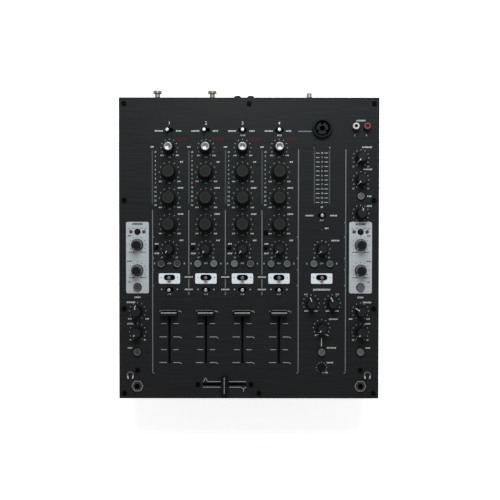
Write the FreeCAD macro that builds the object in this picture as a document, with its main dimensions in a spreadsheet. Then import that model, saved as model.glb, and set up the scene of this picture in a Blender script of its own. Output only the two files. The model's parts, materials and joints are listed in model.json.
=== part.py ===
import FreeCAD, Part
import math
import os
import re
import Sketcher
from FreeCAD import Placement, Rotation, Vector

# A four-channel table-top audio mixer. X runs to the right, Y to the rear, Z up, all in millimetres.
# Places on the panel are measured from the middle of its top face.
SIZES = dict(
    panel_width=321.5, panel_depth=372.4, panel_thick=2, panel_corner=1.2,
    deck_height=92, rear_reach=10.8,
    case_margin=2, sheet_thick=1.5, flange_width=7, rear_recess=9,
    cover_thick=1.2, foot_height=8, foot_width=18, foot_inset_side=22, foot_inset_end=25,
    foot_rear_shift=4, foot_draft=1.5,
    side_inset=22.75, first_pitch=39.5, channel_gap=45.2, master_pitch=52.9, side_pitch=48,
    button_offset=9.9, post_offset=16.4, post_shift=1.7, shape_offset=13.1, mode_light_offset=8,
    input_inset=40.4, to_gain=21.5, to_high=30.1, to_mid=32, to_low=32.3, to_effect=30.6,
    to_button=18, to_plate=17.4, to_assign=15.1, to_fader=27.8, fader_travel=60, to_cross=29.7,
    meter_offset=21, meter_start=3.3, meter_end=7.2, meter_width=1.5, stereo_meter_offset=9.3,
    select_rise=10.9, status_drop=7.1, to_shape=31.5, to_curve=30.5, to_reverse=30.2, to_trim=19.3,
    master_inset=74.4, to_booth=27.1, to_bright=20, to_balance=21.2, to_mode=23, to_filter=16,
    to_resonance=31.6, to_filter_on=21.1, to_source=29.3, to_level=26, to_phones_button=24.7,
    to_phones_screw=22.8, to_phones=19.5, phones_inset=15.7,
    record_inset=15.85, record_pitch=13.9, record_row_inset=36, combo_inset=38.2,
    cross_inset=17.5, cross_shift=0.4, cross_travel=45, cross_screw_offset=32.9,
    screw_side_inset=6.45, screw_rear_inset=7.5, screw_front_inset=6.7, front_screw_offset=42.8,
    screw_upper=59.4, screw_lower=-74.4, spacer_offset=16.2, spacer_drop=10.4, spacer_wall=0.5,
    screw_width=3, screw_head=6, screw_head_high=1.8, screw_socket=2.6, screw_socket_deep=1.2,
    screw_round=0.6,
    screw_long=4, screw_hole=3.4,
    bush_width=7, bush_hole=7.6, bush_shoulder=9.4, bush_rise=0.4, shaft_width=6, shaft_fit=0.05,
    board_drop=13.5, board_thick=1.6, board_gap=4, board_edge=6, board_inset=29.2,
    pot_width=12.5, pot_top=6.5, shaft_drop=11.5,
    knob_gap=1, wide_knob=19.5, wide_knob_top=15, wide_knob_high=17, wide_skirt=3.5,
    small_knob=14, small_knob_top=11.4, small_knob_high=14.5, small_skirt=2.5,
    gain_cap=10.5, gain_body_high=13, gain_cap_high=17, gain_rim=1.5, gain_dish=0.9, gain_draft=0.6,
    filter_skirt=14.8, filter_skirt_high=2.5, filter_top=9.8, knob_roof=3, knob_step=0.4,
    knob_shoulder=1,
    trim_head=9.4, trim_high=3.6, trim_slot=1, trim_slot_deep=1.2,
    flute_width=2.4, flute_bite=0.9, pointer_wide=0.9, pointer_long=3.2, pointer_deep=0.25,
    knob_round=0.8,
    fader_cap_wide=21, fader_cap_deep=9, fader_cap_high=11, fader_cap_gap=2.5, fader_dip=1.6,
    fader_lip=1.6, fader_flat=1.4, fader_draft=6,
    cross_cap_long=22, fader_slot=3, fader_stem_thick=1.2, fader_stem_wide=4.6, fader_stem_drop=8,
    fader_slot_spare=8, cross_slot_spare=9, track_slot_spare=4, ear_thick=2, ear_long=8,
    bore_spare=0.5,
    track_wide=12, track_overrun=13, track_slot=2.6, track_floor=1.5,
    button_width=8.8, button_hole=10.4, button_rise=3.4, button_drop=2.4, button_stem=3.9,
    button_bore=4,
    button_stem_drop=8.5, button_body=9.5, button_body_top=6.2, button_travel=2, mode_button=5.8,
    mode_hole=7.2,
    lever_tip=4.6, lever_waist=2.6, lever_rise=7.5, lever_drop=6, lever_throw=2, lever_slot_long=10.4,
    lever_slot_wide=6, plate_slot_long=13.9, plate_slot_wide=7, switch_body_long=15,
    switch_body_wide=8.6,
    switch_body_top=3.2, post_hole=6, post_tip=3, post_waist=2, post_rise=6, post_throw=1.2,
    post_body_wide=6, post_body_long=9, lever_round=1, lever_play=1.4, mode_button_rise=2,
    light_width=3, light_rise=0.8, light_round=0.6, small_light=2, small_light_rise=0.3,
    combo_bezel=24, combo_face=19, combo_rise=5.5, combo_body=21, combo_depth=24, combo_key=6.6,
    combo_room=2, combo_floor=2,
    combo_recess=2.5, combo_round=1, combo_pin_ring=6.2, combo_pin_hole=3, combo_pin_deep=10,
    phones_washer=14.8, phones_washer_thick=0.7, phones_nut=12.6, phones_nut_high=2.6, phones_lip=0.8,
    phones_tail=8, phones_bore=6.45, phones_bush=9, phones_body=10.4, phones_depth=11,
    phono_shell=7.8, phono_rise=8.5, phono_pin_bore=3.2, phono_flange=10.4, phono_flange_thick=1.6,
    phono_depth=7,
    phono_wall=1.7, phono_lip=5, phono_pin_end=2,
    rear_plate_play=4, rear_plate_seat=2, rear_screw_spread=18,
    rear_phono_reach=9.6, upper_drop=16, lower_drop=48, phono_inset=18.15, to_phono_two=13.6,
    to_ground_one=14.1, to_phono_three=25.5, to_phono_four=16.1, to_ground_two=27.1,
    jack_one=-14.6, jack_two=2, sleeve_inset=85.55,
    xlr_one=-12, xlr_two=40, xlr_drop_one=56, xlr_drop_two=44,
    ground_head=11.1, ground_stem=6.6, ground_head_thick=3.4, ground_round=1, ground_base=9.5,
    ground_base_thick=2.5,
    ground_tail=6,
    rear_jack=8.6, rear_jack_reach=12, rear_jack_tail=14, rear_nut_wall=2.4, rear_nut_thick=3,
    rear_jack_lip=1,
    sleeve_width=6.8, sleeve_reach=15.3, sleeve_tail=4, sleeve_wall=1.2, sleeve_flange=2,
    sleeve_flange_thick=2.2,
    xlr_flange=26, xlr_flange_high=31, xlr_plate=2.4, xlr_shell=21.5, xlr_bore=18.4, xlr_deep=14,
    xlr_pin=2.4,
    xlr_pin_ring=4.6, xlr_pin_long=7.5,
    inlet_wide=64, inlet_high=29, inlet_rise=5, inlet_depth=22, socket_wide=24, socket_high=16.5,
    socket_deep=18,
    inlet_lip=3, blade_wide=2, blade_high=4, blade_pitch=7, blade_offset=2, blade_short=6,
    inlet_inset=49.75, inlet_drop=44, rocker_offset=21, rocker_wide=12, rocker_high=20, rocker_deep=8,
    rocker_rise=4.2, rocker_gap=0.7, rocker_dip=2.2, rocker_rest=7, rocker_room=3, pivot_width=3,
    pivot_long=0.4, socket_offset=15,
    vent_long=26, vent_wide=3, vent_pitch=8, vent_count=9,
)

# Places that follow from the sizes: columns and rows are held from the edges of the panel
PLACES = dict(
    side_column="panel_width/2-side_inset",
    column_slack="(2*side_column-first_pitch-3*channel_gap-master_pitch-side_pitch)/6",
    first_channel="-side_column+first_pitch+column_slack",
    channel_pitch="channel_gap+column_slack",
    master_column="side_column-side_pitch-column_slack",
    record_right="panel_width/2-record_inset",
    record_left="record_right-record_pitch",
    record_row="panel_depth/2-record_row_inset",
    combo_row="panel_depth/2-combo_inset",
    screw_side="panel_width/2-screw_side_inset",
    screw_rear="panel_depth/2-screw_rear_inset",
    screw_front="-panel_depth/2+screw_front_inset",
    cross_middle="first_channel+1.5*channel_pitch+cross_shift",
    cross_row="-panel_depth/2+cross_inset",
    screw_front_middle="cross_middle+front_screw_offset",
    spacer_side="first_channel+3*channel_pitch-spacer_offset",
    phono_one="-panel_width/2+phono_inset",
    phono_two="phono_one+to_phono_two",
    ground_one="phono_two+to_ground_one",
    phono_three="ground_one+to_phono_three",
    phono_four="phono_three+to_phono_four",
    ground_two="phono_four+to_ground_two",
    sleeve_column="panel_width/2-sleeve_inset",
    rear_upper_row="deck_height-upper_drop",
    rear_lower_row="deck_height-lower_drop",
    xlr_row_one="deck_height-xlr_drop_one",
    xlr_row_two="deck_height-xlr_drop_two",
    inlet_middle="panel_width/2-inlet_inset",
    inlet_level="deck_height-inlet_drop",
    rocker_column="inlet_middle+rocker_offset",
    socket_column="inlet_middle-socket_offset",
)


def rows_down(names, slack, inset, front):
    """Rows from the rear edge to the front: named distances, with what is left over shared evenly."""
    steps = [f"to_{name}" for name in names[1:]]
    PLACES[slack] = f"(panel_depth-{inset}-{'-'.join(steps)}-{front})/{len(steps)}"
    PLACES[f"{names[0]}_row"] = f"panel_depth/2-{inset}"
    for before, name in zip(names, names[1:]):
        PLACES[f"{name}_row"] = f"{before}_row-to_{name}-{slack}"


rows_down(
    ["input", "gain", "high", "mid", "low", "effect", "button", "plate", "assign", "fader"],
    "channel_slack", "input_inset", "(fader_travel+to_cross+cross_inset)",
)
rows_down(
    ["master", "booth", "bright", "balance", "mode", "filter", "resonance", "filter_on",
     "source", "level", "phones_button", "phones_screw", "phones"],
    "side_slack", "master_inset", "phones_inset",
)
PLACES.update(
    post_row="effect_row+post_shift",
    spacer_row="low_row-spacer_drop",
    meter_top="gain_row-meter_start",
    meter_bottom="mid_row-meter_end",
    meter_select_row="low_row+select_rise",
    status_row="low_row-status_drop",
    shape_row="plate_row-to_shape",
    curve_row="shape_row-to_curve",
    reverse_row="curve_row-to_reverse",
    trim_row="reverse_row-to_trim",
)

doc = FreeCAD.newDocument("mixer")
sheet = doc.addObject("Spreadsheet::Sheet", "sizes")
for row, (alias, size) in enumerate([*SIZES.items(), *PLACES.items()], 1):
    sheet.set(f"A{row}", alias)
    sheet.set(f"B{row}", f"={size}")
    sheet.setAlias(f"B{row}", alias)
doc.recompute()


def formula(text):
    """The text with every size name pointing at the sheet."""
    return re.sub(r"[a-z]\w*", lambda word: "sizes." + word.group(), str(text))


def number(text):
    """The value that a formula has now, as a first guess for a sketch."""
    plain = re.sub(r"[a-z]\w*", lambda word: f"({sheet.get(word.group()):.6f})", str(text))
    return FreeCAD.Units.Quantity(plain).Value


def bind(item, **properties):
    for name, text in properties.items():
        item.setExpression(name, formula(text))


def body(name):
    return doc.addObject("PartDesign::Body", name)


def sketch_on(owner, role="XY_Plane", lift=None):
    sketch = owner.newObject("Sketcher::SketchObject", owner.Name + "_sketch")
    plane = next(item for item in owner.Origin.OriginFeatures if item.Role == role)
    sketch.AttachmentSupport = [(plane, "")]
    sketch.MapMode = "FlatFace"
    if lift is not None:
        sketch.setExpression("AttachmentOffset.Base.z", formula(lift))
    return sketch


def tie(sketch, kind, *where, text):
    """Adds a dimension and ties it to a formula."""
    index = sketch.addConstraint(Sketcher.Constraint(kind, *where, number(text)))
    sketch.setExpression(f"Constraints[{index}]", formula(text))


def tie_point(sketch, geometry, point, x, y):
    for kind, axis, text in (("DistanceX", -2, x), ("DistanceY", -1, y)):
        if abs(number(text)) < 1e-9:
            sketch.addConstraint(Sketcher.Constraint("PointOnObject", geometry, point, axis))
        else:
            tie(sketch, kind, -1, 1, geometry, point, text=text)


def circle(sketch, x, y, width):
    centre = Vector(number(x), number(y), 0)
    shape = sketch.addGeometry(Part.Circle(centre, Vector(0, 0, 1), number(width) / 2))
    tie(sketch, "Diameter", shape, text=width)
    tie_point(sketch, shape, 3, x, y)


def outline(sketch, points):
    """A closed outline of straight edges through points given as formulas."""
    spots = [Vector(number(x), number(y), 0) for x, y in points]
    first = sketch.GeometryCount
    count = len(points)
    for i in range(count):
        sketch.addGeometry(Part.LineSegment(spots[i], spots[(i + 1) % count]))
    for i, (x, y) in enumerate(points):
        sketch.addConstraint(Sketcher.Constraint("Coincident", first + i, 2, first + (i + 1) % count, 1))
        tie_point(sketch, first + i, 1, x, y)


def rectangle(sketch, x, y, wide, high):
    left, right = f"({x})-({wide})/2", f"({x})+({wide})/2"
    low, top = f"({y})-({high})/2", f"({y})+({high})/2"
    outline(sketch, [(left, low), (right, low), (right, top), (left, top)])


def hexagon(sketch, width):
    """A hexagon of this width across its flats, round the middle of the sketch."""
    spots = [math.radians(60 * i) for i in range(6)]
    reach = f"({width})/1.7321"
    outline(sketch, [(f"{math.cos(a):.4f}*{reach}", f"{math.sin(a):.4f}*{reach}") for a in spots])


def slot(sketch, x, y, long, wide, upright=False):
    """A slot with round ends, lying along X or standing along Y."""
    half = f"(({long})-({wide}))/2"
    if upright:
        ends = [(x, f"({y})+{half}"), (x, f"({y})-{half}")]
    else:
        ends = [(f"({x})+{half}", y), (f"({x})-{half}", y)]
    radius = number(wide) / 2
    turn = 0 if upright else -math.pi / 2
    centres = [Vector(number(a), number(b), 0) for a, b in ends]
    axis = Vector(0, 0, 1)
    arcs = []
    for centre, start in zip(centres, (turn, turn + math.pi)):
        arc = Part.ArcOfCircle(Part.Circle(centre, axis, radius), start, start + math.pi)
        arcs.append(sketch.addGeometry(arc))
    sides = []
    for near, far in ((0, 1), (1, 0)):
        start = sketch.getPoint(arcs[near], 2)
        sides.append(sketch.addGeometry(Part.LineSegment(start, sketch.getPoint(arcs[far], 1))))
    for near, far, side in ((0, 1, sides[0]), (1, 0, sides[1])):
        sketch.addConstraint(Sketcher.Constraint("Tangent", arcs[near], 2, side, 1))
        sketch.addConstraint(Sketcher.Constraint("Tangent", side, 2, arcs[far], 1))
    sketch.addConstraint(Sketcher.Constraint("Equal", arcs[0], arcs[1]))
    tie(sketch, "Radius", arcs[0], text=f"({wide})/2")
    for arc, (a, b) in zip(arcs, ends):
        tie_point(sketch, arc, 3, a, b)


def pad(owner, sketch, length, down=False):
    item = owner.newObject("PartDesign::Pad", owner.Name + "_pad")
    item.Profile = sketch
    item.Reversed = down
    bind(item, Length=length)
    return item


def pocket(owner, sketch, length=None, up=False):
    """Cuts a sketch downward, or upward, by a length or right through."""
    item = owner.newObject("PartDesign::Pocket", owner.Name + "_pocket")
    item.Profile = sketch
    item.Reversed = up
    if length is None:
        item.Type = "ThroughAll"
    else:
        bind(item, Length=length)
    return item


def revolve(owner, points):
    """Turns an outline of radius and height about the upright axis."""
    sketch = sketch_on(owner, "XZ_Plane")
    outline(sketch, points)
    item = owner.newObject("PartDesign::Revolution", owner.Name + "_turned")
    item.Profile = sketch
    item.ReferenceAxis = (sketch, ["V_Axis"])
    item.Angle = 360
    return item


def repeat(owner, cut, sketch, count, turn=None, length=None, axis="H_Axis"):
    """Repeats a feature round the upright axis, or along a sketch axis."""
    kind = "PolarPattern" if turn else "LinearPattern"
    item = owner.newObject("PartDesign::" + kind, owner.Name + "_pattern")
    item.Originals = [cut]
    if turn:
        item.Axis = (sketch, ["N_Axis"])
        item.Angle = turn
    else:
        item.Direction = (sketch, [axis])
        bind(item, Length=length)
    item.Occurrences = count
    owner.Tip = item
    return item


def soften(owner, base, radius, chosen):
    """Rounds the edges of a feature that the given test picks."""
    doc.recompute()
    names = [f"Edge{i}" for i, edge in enumerate(base.Shape.Edges, 1) if chosen(edge)]
    item = owner.newObject("PartDesign::Fillet", owner.Name + "_round")
    item.Base = (base, names)
    bind(item, Radius=radius)
    return item


def rim(height, width):
    """A test for the round edge of this width at this height."""
    z, radius = number(height), number(width) / 2

    def chosen(edge):
        round_edge = isinstance(edge.Curve, Part.Circle)
        return round_edge and abs(edge.Curve.Center.z - z) < 1e-6 and abs(edge.Curve.Radius - radius) < 1e-6

    return chosen


def upright(edge):
    return abs(edge.tangentAt(edge.FirstParameter).z) > 0.999


def place(item, x, y, z="deck_height", turn=None):
    if turn is not None:
        item.Placement = Placement(Vector(), turn)
    bind(item, **{
        "Placement.Base.x": x,
        "Placement.Base.y": f"({y})-rear_reach/2",
        "Placement.Base.z": z,
    })
    return item


def copy(form, x, y, z="deck_height", turn=None):
    link = doc.addObject("App::Link", form.Name + "_copy")
    link.LinkedObject = form
    return place(link, x, y, z, turn)


nodes = []


def node(name, pieces, x=None, y=None, z="deck_height", turn=None):
    """One named sub-part made of the given pieces."""
    item = doc.addObject("Part::Compound", name)
    item.Links = pieces
    item.Label = name
    nodes.append(item)
    return item if x is None else place(item, x, y, z, turn)


def single(item, name):
    item.Label = name
    nodes.append(item)
    return item


def about_z(degrees):
    return Rotation(Vector(0, 0, 1), degrees)


REARWARD = Rotation(Vector(1, 0, 0), -90)
DOWNWARD = Rotation(Vector(1, 0, 0), 180)
CHANNELS = [f"(first_channel+{i}*channel_pitch)" for i in range(4)]
SIDES = {"a": "-side_column", "b": "side_column"}
REAR_WALL = "(panel_depth/2-rear_recess)"
CASE_WIDE = "(panel_width-2*case_margin)"
CASE_DEEP = "(panel_depth-2*case_margin)"
CASE_LOW = "(foot_height+cover_thick)"
CASE_HIGH = f"(deck_height-panel_thick-{CASE_LOW})"


# Places of what stands on the panel
SCREWS = [(f"{side}*screw_side", row) for side in (-1, 1)
          for row in ("screw_rear", "screw_upper", "screw_lower", "screw_front")]
SCREWS += [("0", "screw_rear"), ("screw_front_middle", "screw_front")]
SPACERS = [
    ("spacer_side", "spacer_row"),
    ("-side_column", "phones_screw_row"),
    ("side_column", "phones_screw_row"),
]
CROSS_SCREWS = [(f"cross_middle+{side}*cross_screw_offset", "cross_row") for side in (-1, 1)]
BUTTONS = [
    (f"{x}+{side}*button_offset", "button_row") for x in CHANNELS + ["master_column"] for side in (-1, 1)
]
BUTTONS += [("side_column", "bright_row"), ("master_column", "reverse_row")]
BUTTONS += [(x, row) for x in SIDES.values() for row in ("filter_on_row", "phones_button_row")]
MODE_BUTTONS = [(x, "mode_row") for x in SIDES.values()]
PLATE_LEVERS = [(x, "plate_row") for x in CHANNELS + ["master_column"]]
SLOT_LEVERS = [(x, "assign_row") for x in CHANNELS] + [("master_column", "meter_select_row")]
SLOT_LEVERS += [(x, "input_row") for x in CHANNELS]
POST_SWITCHES = [(f"{x}-post_offset", "post_row") for x in CHANNELS]


def face_panel():
    plate = body("panel_form")
    base = sketch_on(plate)
    rectangle(base, "0", "0", "panel_width", "panel_depth")
    slab = pad(plate, base, "panel_thick", down=True)
    soften(plate, slab, "panel_corner", upright)

    strip = sketch_on(plate)
    x = CHANNELS[0]
    for row in ("gain_row", "high_row", "mid_row", "low_row", "effect_row"):
        circle(strip, x, row, "bush_hole")
    for side in (-1, 1):
        circle(strip, f"{x}+{side}*button_offset", "button_row", "button_hole")
    circle(strip, f"{x}-post_offset", "post_row", "post_hole")
    slot(strip, x, "input_row", "lever_slot_long", "lever_slot_wide")
    slot(strip, x, "plate_row", "plate_slot_long", "plate_slot_wide")
    slot(strip, x, "assign_row", "lever_slot_long", "lever_slot_wide")
    slot(strip, x, "fader_row-fader_travel/2", "fader_travel+fader_slot_spare", "fader_slot", upright=True)
    meter_high = "meter_top-meter_bottom"
    rectangle(strip, f"{x}-meter_offset", "(meter_top+meter_bottom)/2", "meter_width", meter_high)
    repeat(plate, pocket(plate, strip), strip, 4, length="3*channel_pitch")

    sides = sketch_on(plate)
    for row in ("filter_row", "resonance_row", "source_row", "level_row"):
        circle(sides, "side_column", row, "bush_hole")
    for row in ("filter_on_row", "phones_button_row"):
        circle(sides, "side_column", row, "button_hole")
    circle(sides, "side_column", "mode_row", "mode_hole")
    for side in (-1, 1):
        circle(sides, f"side_column+{side}*mode_light_offset", "mode_row", "light_width")
    circle(sides, "side_column", "phones_row", "phones_bush")
    circle(sides, "side_column", "phones_screw_row", "screw_hole")
    for row in ("screw_rear", "screw_upper", "screw_lower", "screw_front"):
        circle(sides, "screw_side", row, "screw_hole")
    cut = pocket(plate, sides)
    mirror = plate.newObject("PartDesign::Mirrored", "panel_form_mirror")
    mirror.Originals = [cut]
    mirror.MirrorPlane = (sides, ["V_Axis"])
    plate.Tip = mirror

    rest = sketch_on(plate)
    for row in ("effect_row", "curve_row", "trim_row"):
        circle(rest, "master_column", row, "bush_hole")
    for side in (-1, 1):
        circle(rest, f"master_column+{side}*shape_offset", "shape_row", "bush_hole")
        circle(rest, f"master_column+{side}*button_offset", "button_row", "button_hole")
        rectangle(rest, f"master_column+{side}*stereo_meter_offset", "(meter_top+meter_bottom)/2",
                  "meter_width", "meter_top-meter_bottom")
        circle(rest, f"cross_middle+{side}*cross_screw_offset", "cross_row", "screw_hole")
    circle(rest, "master_column", "reverse_row", "button_hole")
    circle(rest, "master_column", "status_row", "small_light")
    circle(rest, "master_column", "combo_row", "combo_body")
    slot(rest, "master_column", "meter_select_row", "lever_slot_long", "lever_slot_wide")
    slot(rest, "master_column", "plate_row", "plate_slot_long", "plate_slot_wide")
    for row in ("master_row", "booth_row", "balance_row"):
        circle(rest, "side_column", row, "bush_hole")
    circle(rest, "side_column", "bright_row", "button_hole")
    for x in ("record_left", "record_right"):
        circle(rest, x, "record_row", "phono_shell")
    slot(rest, "cross_middle", "cross_row", "cross_travel+cross_slot_spare", "fader_slot")
    for x, y in SCREWS[-2:] + SPACERS[:1]:
        circle(rest, x, y, "screw_hole")
    plate.Tip = pocket(plate, rest)
    place(plate, "0", "0")
    single(plate, "face_panel")


def chassis_frame():
    """Folded sheet: front, sides and rear wall, with flanges that carry the panel and the cover."""
    shell = body("chassis_form")
    base = sketch_on(shell)
    rectangle(base, "0", "0", CASE_WIDE, CASE_DEEP)
    pad(shell, base, CASE_HIGH)
    lip = sketch_on(shell)
    rectangle(lip, "0", f"{CASE_DEEP}/2-rear_recess/2+case_margin/2", CASE_WIDE, "rear_recess-case_margin")
    pocket(shell, lip, f"{CASE_HIGH}-sheet_thick", up=True)
    middle = f"({REAR_WALL}-sheet_thick-{CASE_DEEP}/2)/2"
    deep = f"({REAR_WALL}-sheet_thick+{CASE_DEEP}/2)"
    hollow = sketch_on(shell, lift="sheet_thick")
    rectangle(hollow, "0", middle, f"{CASE_WIDE}-2*sheet_thick", f"{deep}-2*sheet_thick")
    pocket(shell, hollow, f"{CASE_HIGH}-2*sheet_thick", up=True)
    window = sketch_on(shell)
    rectangle(window, "0", middle, f"{CASE_WIDE}-2*flange_width", f"{deep}-2*flange_width")
    pocket(shell, window, up=True)
    gate = sketch_on(shell, "XZ_Plane")
    rectangle(gate, "0", f"{CASE_HIGH}/2", f"{CASE_WIDE}-2*flange_width", f"{CASE_HIGH}-2*flange_width")
    for x, level in REAR_SCREWS:
        circle(gate, x, f"{level}-{CASE_LOW}", "screw_width")
    pocket(shell, gate)
    upper = sketch_on(shell, lift=CASE_HIGH)
    for x, y in SCREWS:
        circle(upper, x, y, "screw_width")
    pocket(shell, upper, "sheet_thick")
    lower = sketch_on(shell)
    for x, y in COVER_SCREWS:
        circle(lower, x, y, "screw_width")
    shell.Tip = pocket(shell, lower, "sheet_thick", up=True)
    place(shell, "0", "0", CASE_LOW)
    single(shell, "chassis_frame")


COVER_SCREWS = [(f"{side}*({CASE_WIDE}/2-flange_width/2)", row) for side in (-1, 1)
                for row in ("screw_upper", "screw_lower")]
FOOT_FRONT = "-(panel_depth/2-foot_inset_end)"
FOOT_REAR = "panel_depth/2-foot_inset_end-foot_rear_shift"
FEET = [
    (f"{side}*(panel_width/2-foot_inset_side)", end) for side in (-1, 1) for end in (FOOT_FRONT, FOOT_REAR)
]


def bottom_cover():
    cover = body("cover_form")
    base = sketch_on(cover)
    deep = f"({REAR_WALL}-sheet_thick+{CASE_DEEP}/2)"
    rectangle(base, "0", f"({REAR_WALL}-sheet_thick-{CASE_DEEP}/2)/2", CASE_WIDE, deep)
    pad(cover, base, "cover_thick")
    vents = sketch_on(cover)
    for side in (-1, 1):
        slot(vents, f"{side}*panel_width/4", "-vent_pitch*(vent_count-1)/2", "vent_long", "vent_wide")
    repeat(cover, pocket(cover, vents, up=True), vents, SIZES["vent_count"],
           length="vent_pitch*(vent_count-1)", axis="V_Axis")
    holes = sketch_on(cover)
    for x, y in COVER_SCREWS:
        circle(holes, x, y, "screw_hole")
    cover.Tip = pocket(cover, holes, up=True)
    place(cover, "0", "0", "foot_height")
    single(cover, "bottom_cover")


def rubber_feet():
    foot = body("foot_form")
    turned = revolve(foot, [("0", "0"), ("foot_width/2-foot_draft", "0"), ("foot_width/2", "foot_height"),
                            ("0", "foot_height")])
    foot.Tip = soften(foot, turned, "knob_round", rim("0", "foot_width-2*foot_draft"))
    node("rubber_feet", [copy(foot, x, y, "0") for x, y in FEET])


# Rear wall: places are to the right and above the table, as in the case frame
REAR_PHONOS = [(x, level) for x in ("phono_one", "phono_two", "phono_three", "phono_four")
               for level in ("rear_upper_row", "rear_lower_row")]
GROUND_POSTS = [("ground_one", "rear_upper_row"), ("ground_two", "rear_upper_row")]
REAR_JACKS = [("jack_one", "rear_upper_row"), ("jack_two", "rear_upper_row")]
XLR_SOCKETS = [("xlr_one", "xlr_row_one"), ("xlr_two", "xlr_row_two")]
SLEEVES = [("sleeve_column", "rear_upper_row")]
REAR_MIDDLE = f"({CASE_LOW}+{CASE_HIGH}/2)"
PLATE_MIDDLE = f"({REAR_MIDDLE}-rear_plate_seat/2)"
REAR_SCREWS = [(f"{side}*({CASE_WIDE}/2-flange_width/2)", f"{REAR_MIDDLE}+{end}*rear_screw_spread")
               for side in (-1, 1) for end in (-1, 1)]


def rear_panel():
    """Connector plate on the rear wall, drawn in the plane of the plate with its Y pointing down."""
    plate = body("rear_form")
    base = sketch_on(plate)
    rectangle(base, "0", "0", f"{CASE_WIDE}-rear_plate_play", f"{CASE_HIGH}-sheet_thick-rear_plate_seat")
    pad(plate, base, "sheet_thick", down=True)
    holes = sketch_on(plate)
    bores = [
        (REAR_PHONOS, "phono_shell"),
        (GROUND_POSTS, "ground_stem"),
        (REAR_JACKS, "rear_jack"),
        (SLEEVES, "sleeve_width"),
        (XLR_SOCKETS, "xlr_shell"),
        (REAR_SCREWS, "screw_hole"),
    ]
    for places, wide in bores:
        for x, level in places:
            circle(holes, x, f"{PLATE_MIDDLE}-({level})", wide)
    inner_wide, inner_high = "inlet_wide-2*inlet_lip", "inlet_high-2*inlet_lip"
    rectangle(holes, "inlet_middle", f"{PLATE_MIDDLE}-inlet_level", inner_wide, inner_high)
    plate.Tip = pocket(plate, holes)
    place(plate, "0", f"{REAR_WALL}+sheet_thick", PLATE_MIDDLE, REARWARD)
    single(plate, "rear_panel")


def at_rear(form, places):
    return [copy(form, x, f"{REAR_WALL}+sheet_thick", level, REARWARD) for x, level in places]


def phono_socket(name, reach):
    """A coaxial socket: flange on the wall, round shell, and an insulated pin hole."""
    form = body(name)
    form.Tip = revolve(form, [
        ("phono_pin_bore/2", f"{reach}-phono_lip"), ("phono_shell/2-phono_wall", f"{reach}-phono_lip"),
        ("phono_shell/2-phono_wall", reach), ("phono_shell/2", reach),
        ("phono_shell/2", "phono_flange_thick"), ("phono_flange/2", "phono_flange_thick"),
        ("phono_flange/2", "0"), ("phono_shell/2", "0"),
        ("phono_shell/2", "-phono_depth"), ("0", "-phono_depth"), ("0", "-phono_pin_end"),
        ("phono_pin_bore/2", "-phono_pin_end"),
    ])
    return form


def rear_connectors():
    ground = body("ground_form")
    head = "rear_recess-sheet_thick+rear_reach-ground_head_thick"
    turned = revolve(ground, [
        ("0", "-ground_tail"), ("ground_stem/2", "-ground_tail"), ("ground_stem/2", "0"),
        ("ground_base/2", "0"),
        ("ground_base/2", "ground_base_thick"), ("ground_stem/2", "ground_base_thick"),
        ("ground_stem/2", head),
        ("ground_head/2", head), ("ground_head/2", f"{head}+ground_head_thick"),
        ("0", f"{head}+ground_head_thick"),
    ])
    ground.Tip = soften(ground, turned, "ground_round", rim(f"{head}+ground_head_thick", "ground_head"))
    jack = body("rear_jack_form")
    jack.Tip = revolve(jack, [
        ("phones_bore/2", "-rear_jack_tail"), ("rear_jack/2", "-rear_jack_tail"), ("rear_jack/2", "0"),
        ("rear_jack/2+rear_nut_wall", "0"), ("rear_jack/2+rear_nut_wall", "rear_nut_thick"),
        ("rear_jack/2", "rear_nut_thick"), ("rear_jack/2", "rear_jack_reach-rear_jack_lip"),
        ("rear_jack/2-rear_jack_lip", "rear_jack_reach"), ("phones_bore/2", "rear_jack_reach"),
    ])
    sleeve = body("sleeve_form")
    sleeve.Tip = revolve(sleeve, [
        ("sleeve_width/2-sleeve_wall", "-sleeve_tail"), ("sleeve_width/2", "-sleeve_tail"),
        ("sleeve_width/2", "0"),
        ("sleeve_width/2+sleeve_flange", "0"), ("sleeve_width/2+sleeve_flange", "sleeve_flange_thick"),
        ("sleeve_width/2", "sleeve_flange_thick"), ("sleeve_width/2", "sleeve_reach"),
        ("sleeve_width/2-sleeve_wall", "sleeve_reach"),
    ])
    xlr = body("xlr_form")
    base = sketch_on(xlr)
    rectangle(base, "0", "0", "xlr_flange", "xlr_flange_high")
    plate = pad(xlr, base, "xlr_plate")
    soften(xlr, plate, "panel_corner", upright)
    shell = sketch_on(xlr)
    circle(shell, "0", "0", "xlr_shell")
    pad(xlr, shell, "xlr_deep", down=True)
    well = sketch_on(xlr, lift="xlr_plate")
    circle(well, "0", "0", "xlr_bore")
    pocket(xlr, well, "xlr_deep")
    pins = sketch_on(xlr, lift="xlr_plate-xlr_deep")
    for i in range(3):
        angle = math.radians(30 - 120 * i)
        x, y = math.cos(angle), math.sin(angle)
        circle(pins, f"{x:.4f}*xlr_pin_ring", f"{y:.4f}*xlr_pin_ring", "xlr_pin")
    xlr.Tip = pad(xlr, pins, "xlr_pin_long")
    pieces = at_rear(phono_socket("rear_phono_form", "rear_phono_reach"), REAR_PHONOS)
    pieces += at_rear(ground, GROUND_POSTS) + at_rear(jack, REAR_JACKS)
    pieces += at_rear(sleeve, SLEEVES) + at_rear(xlr, XLR_SOCKETS)
    node("rear_connectors", pieces)


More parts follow.
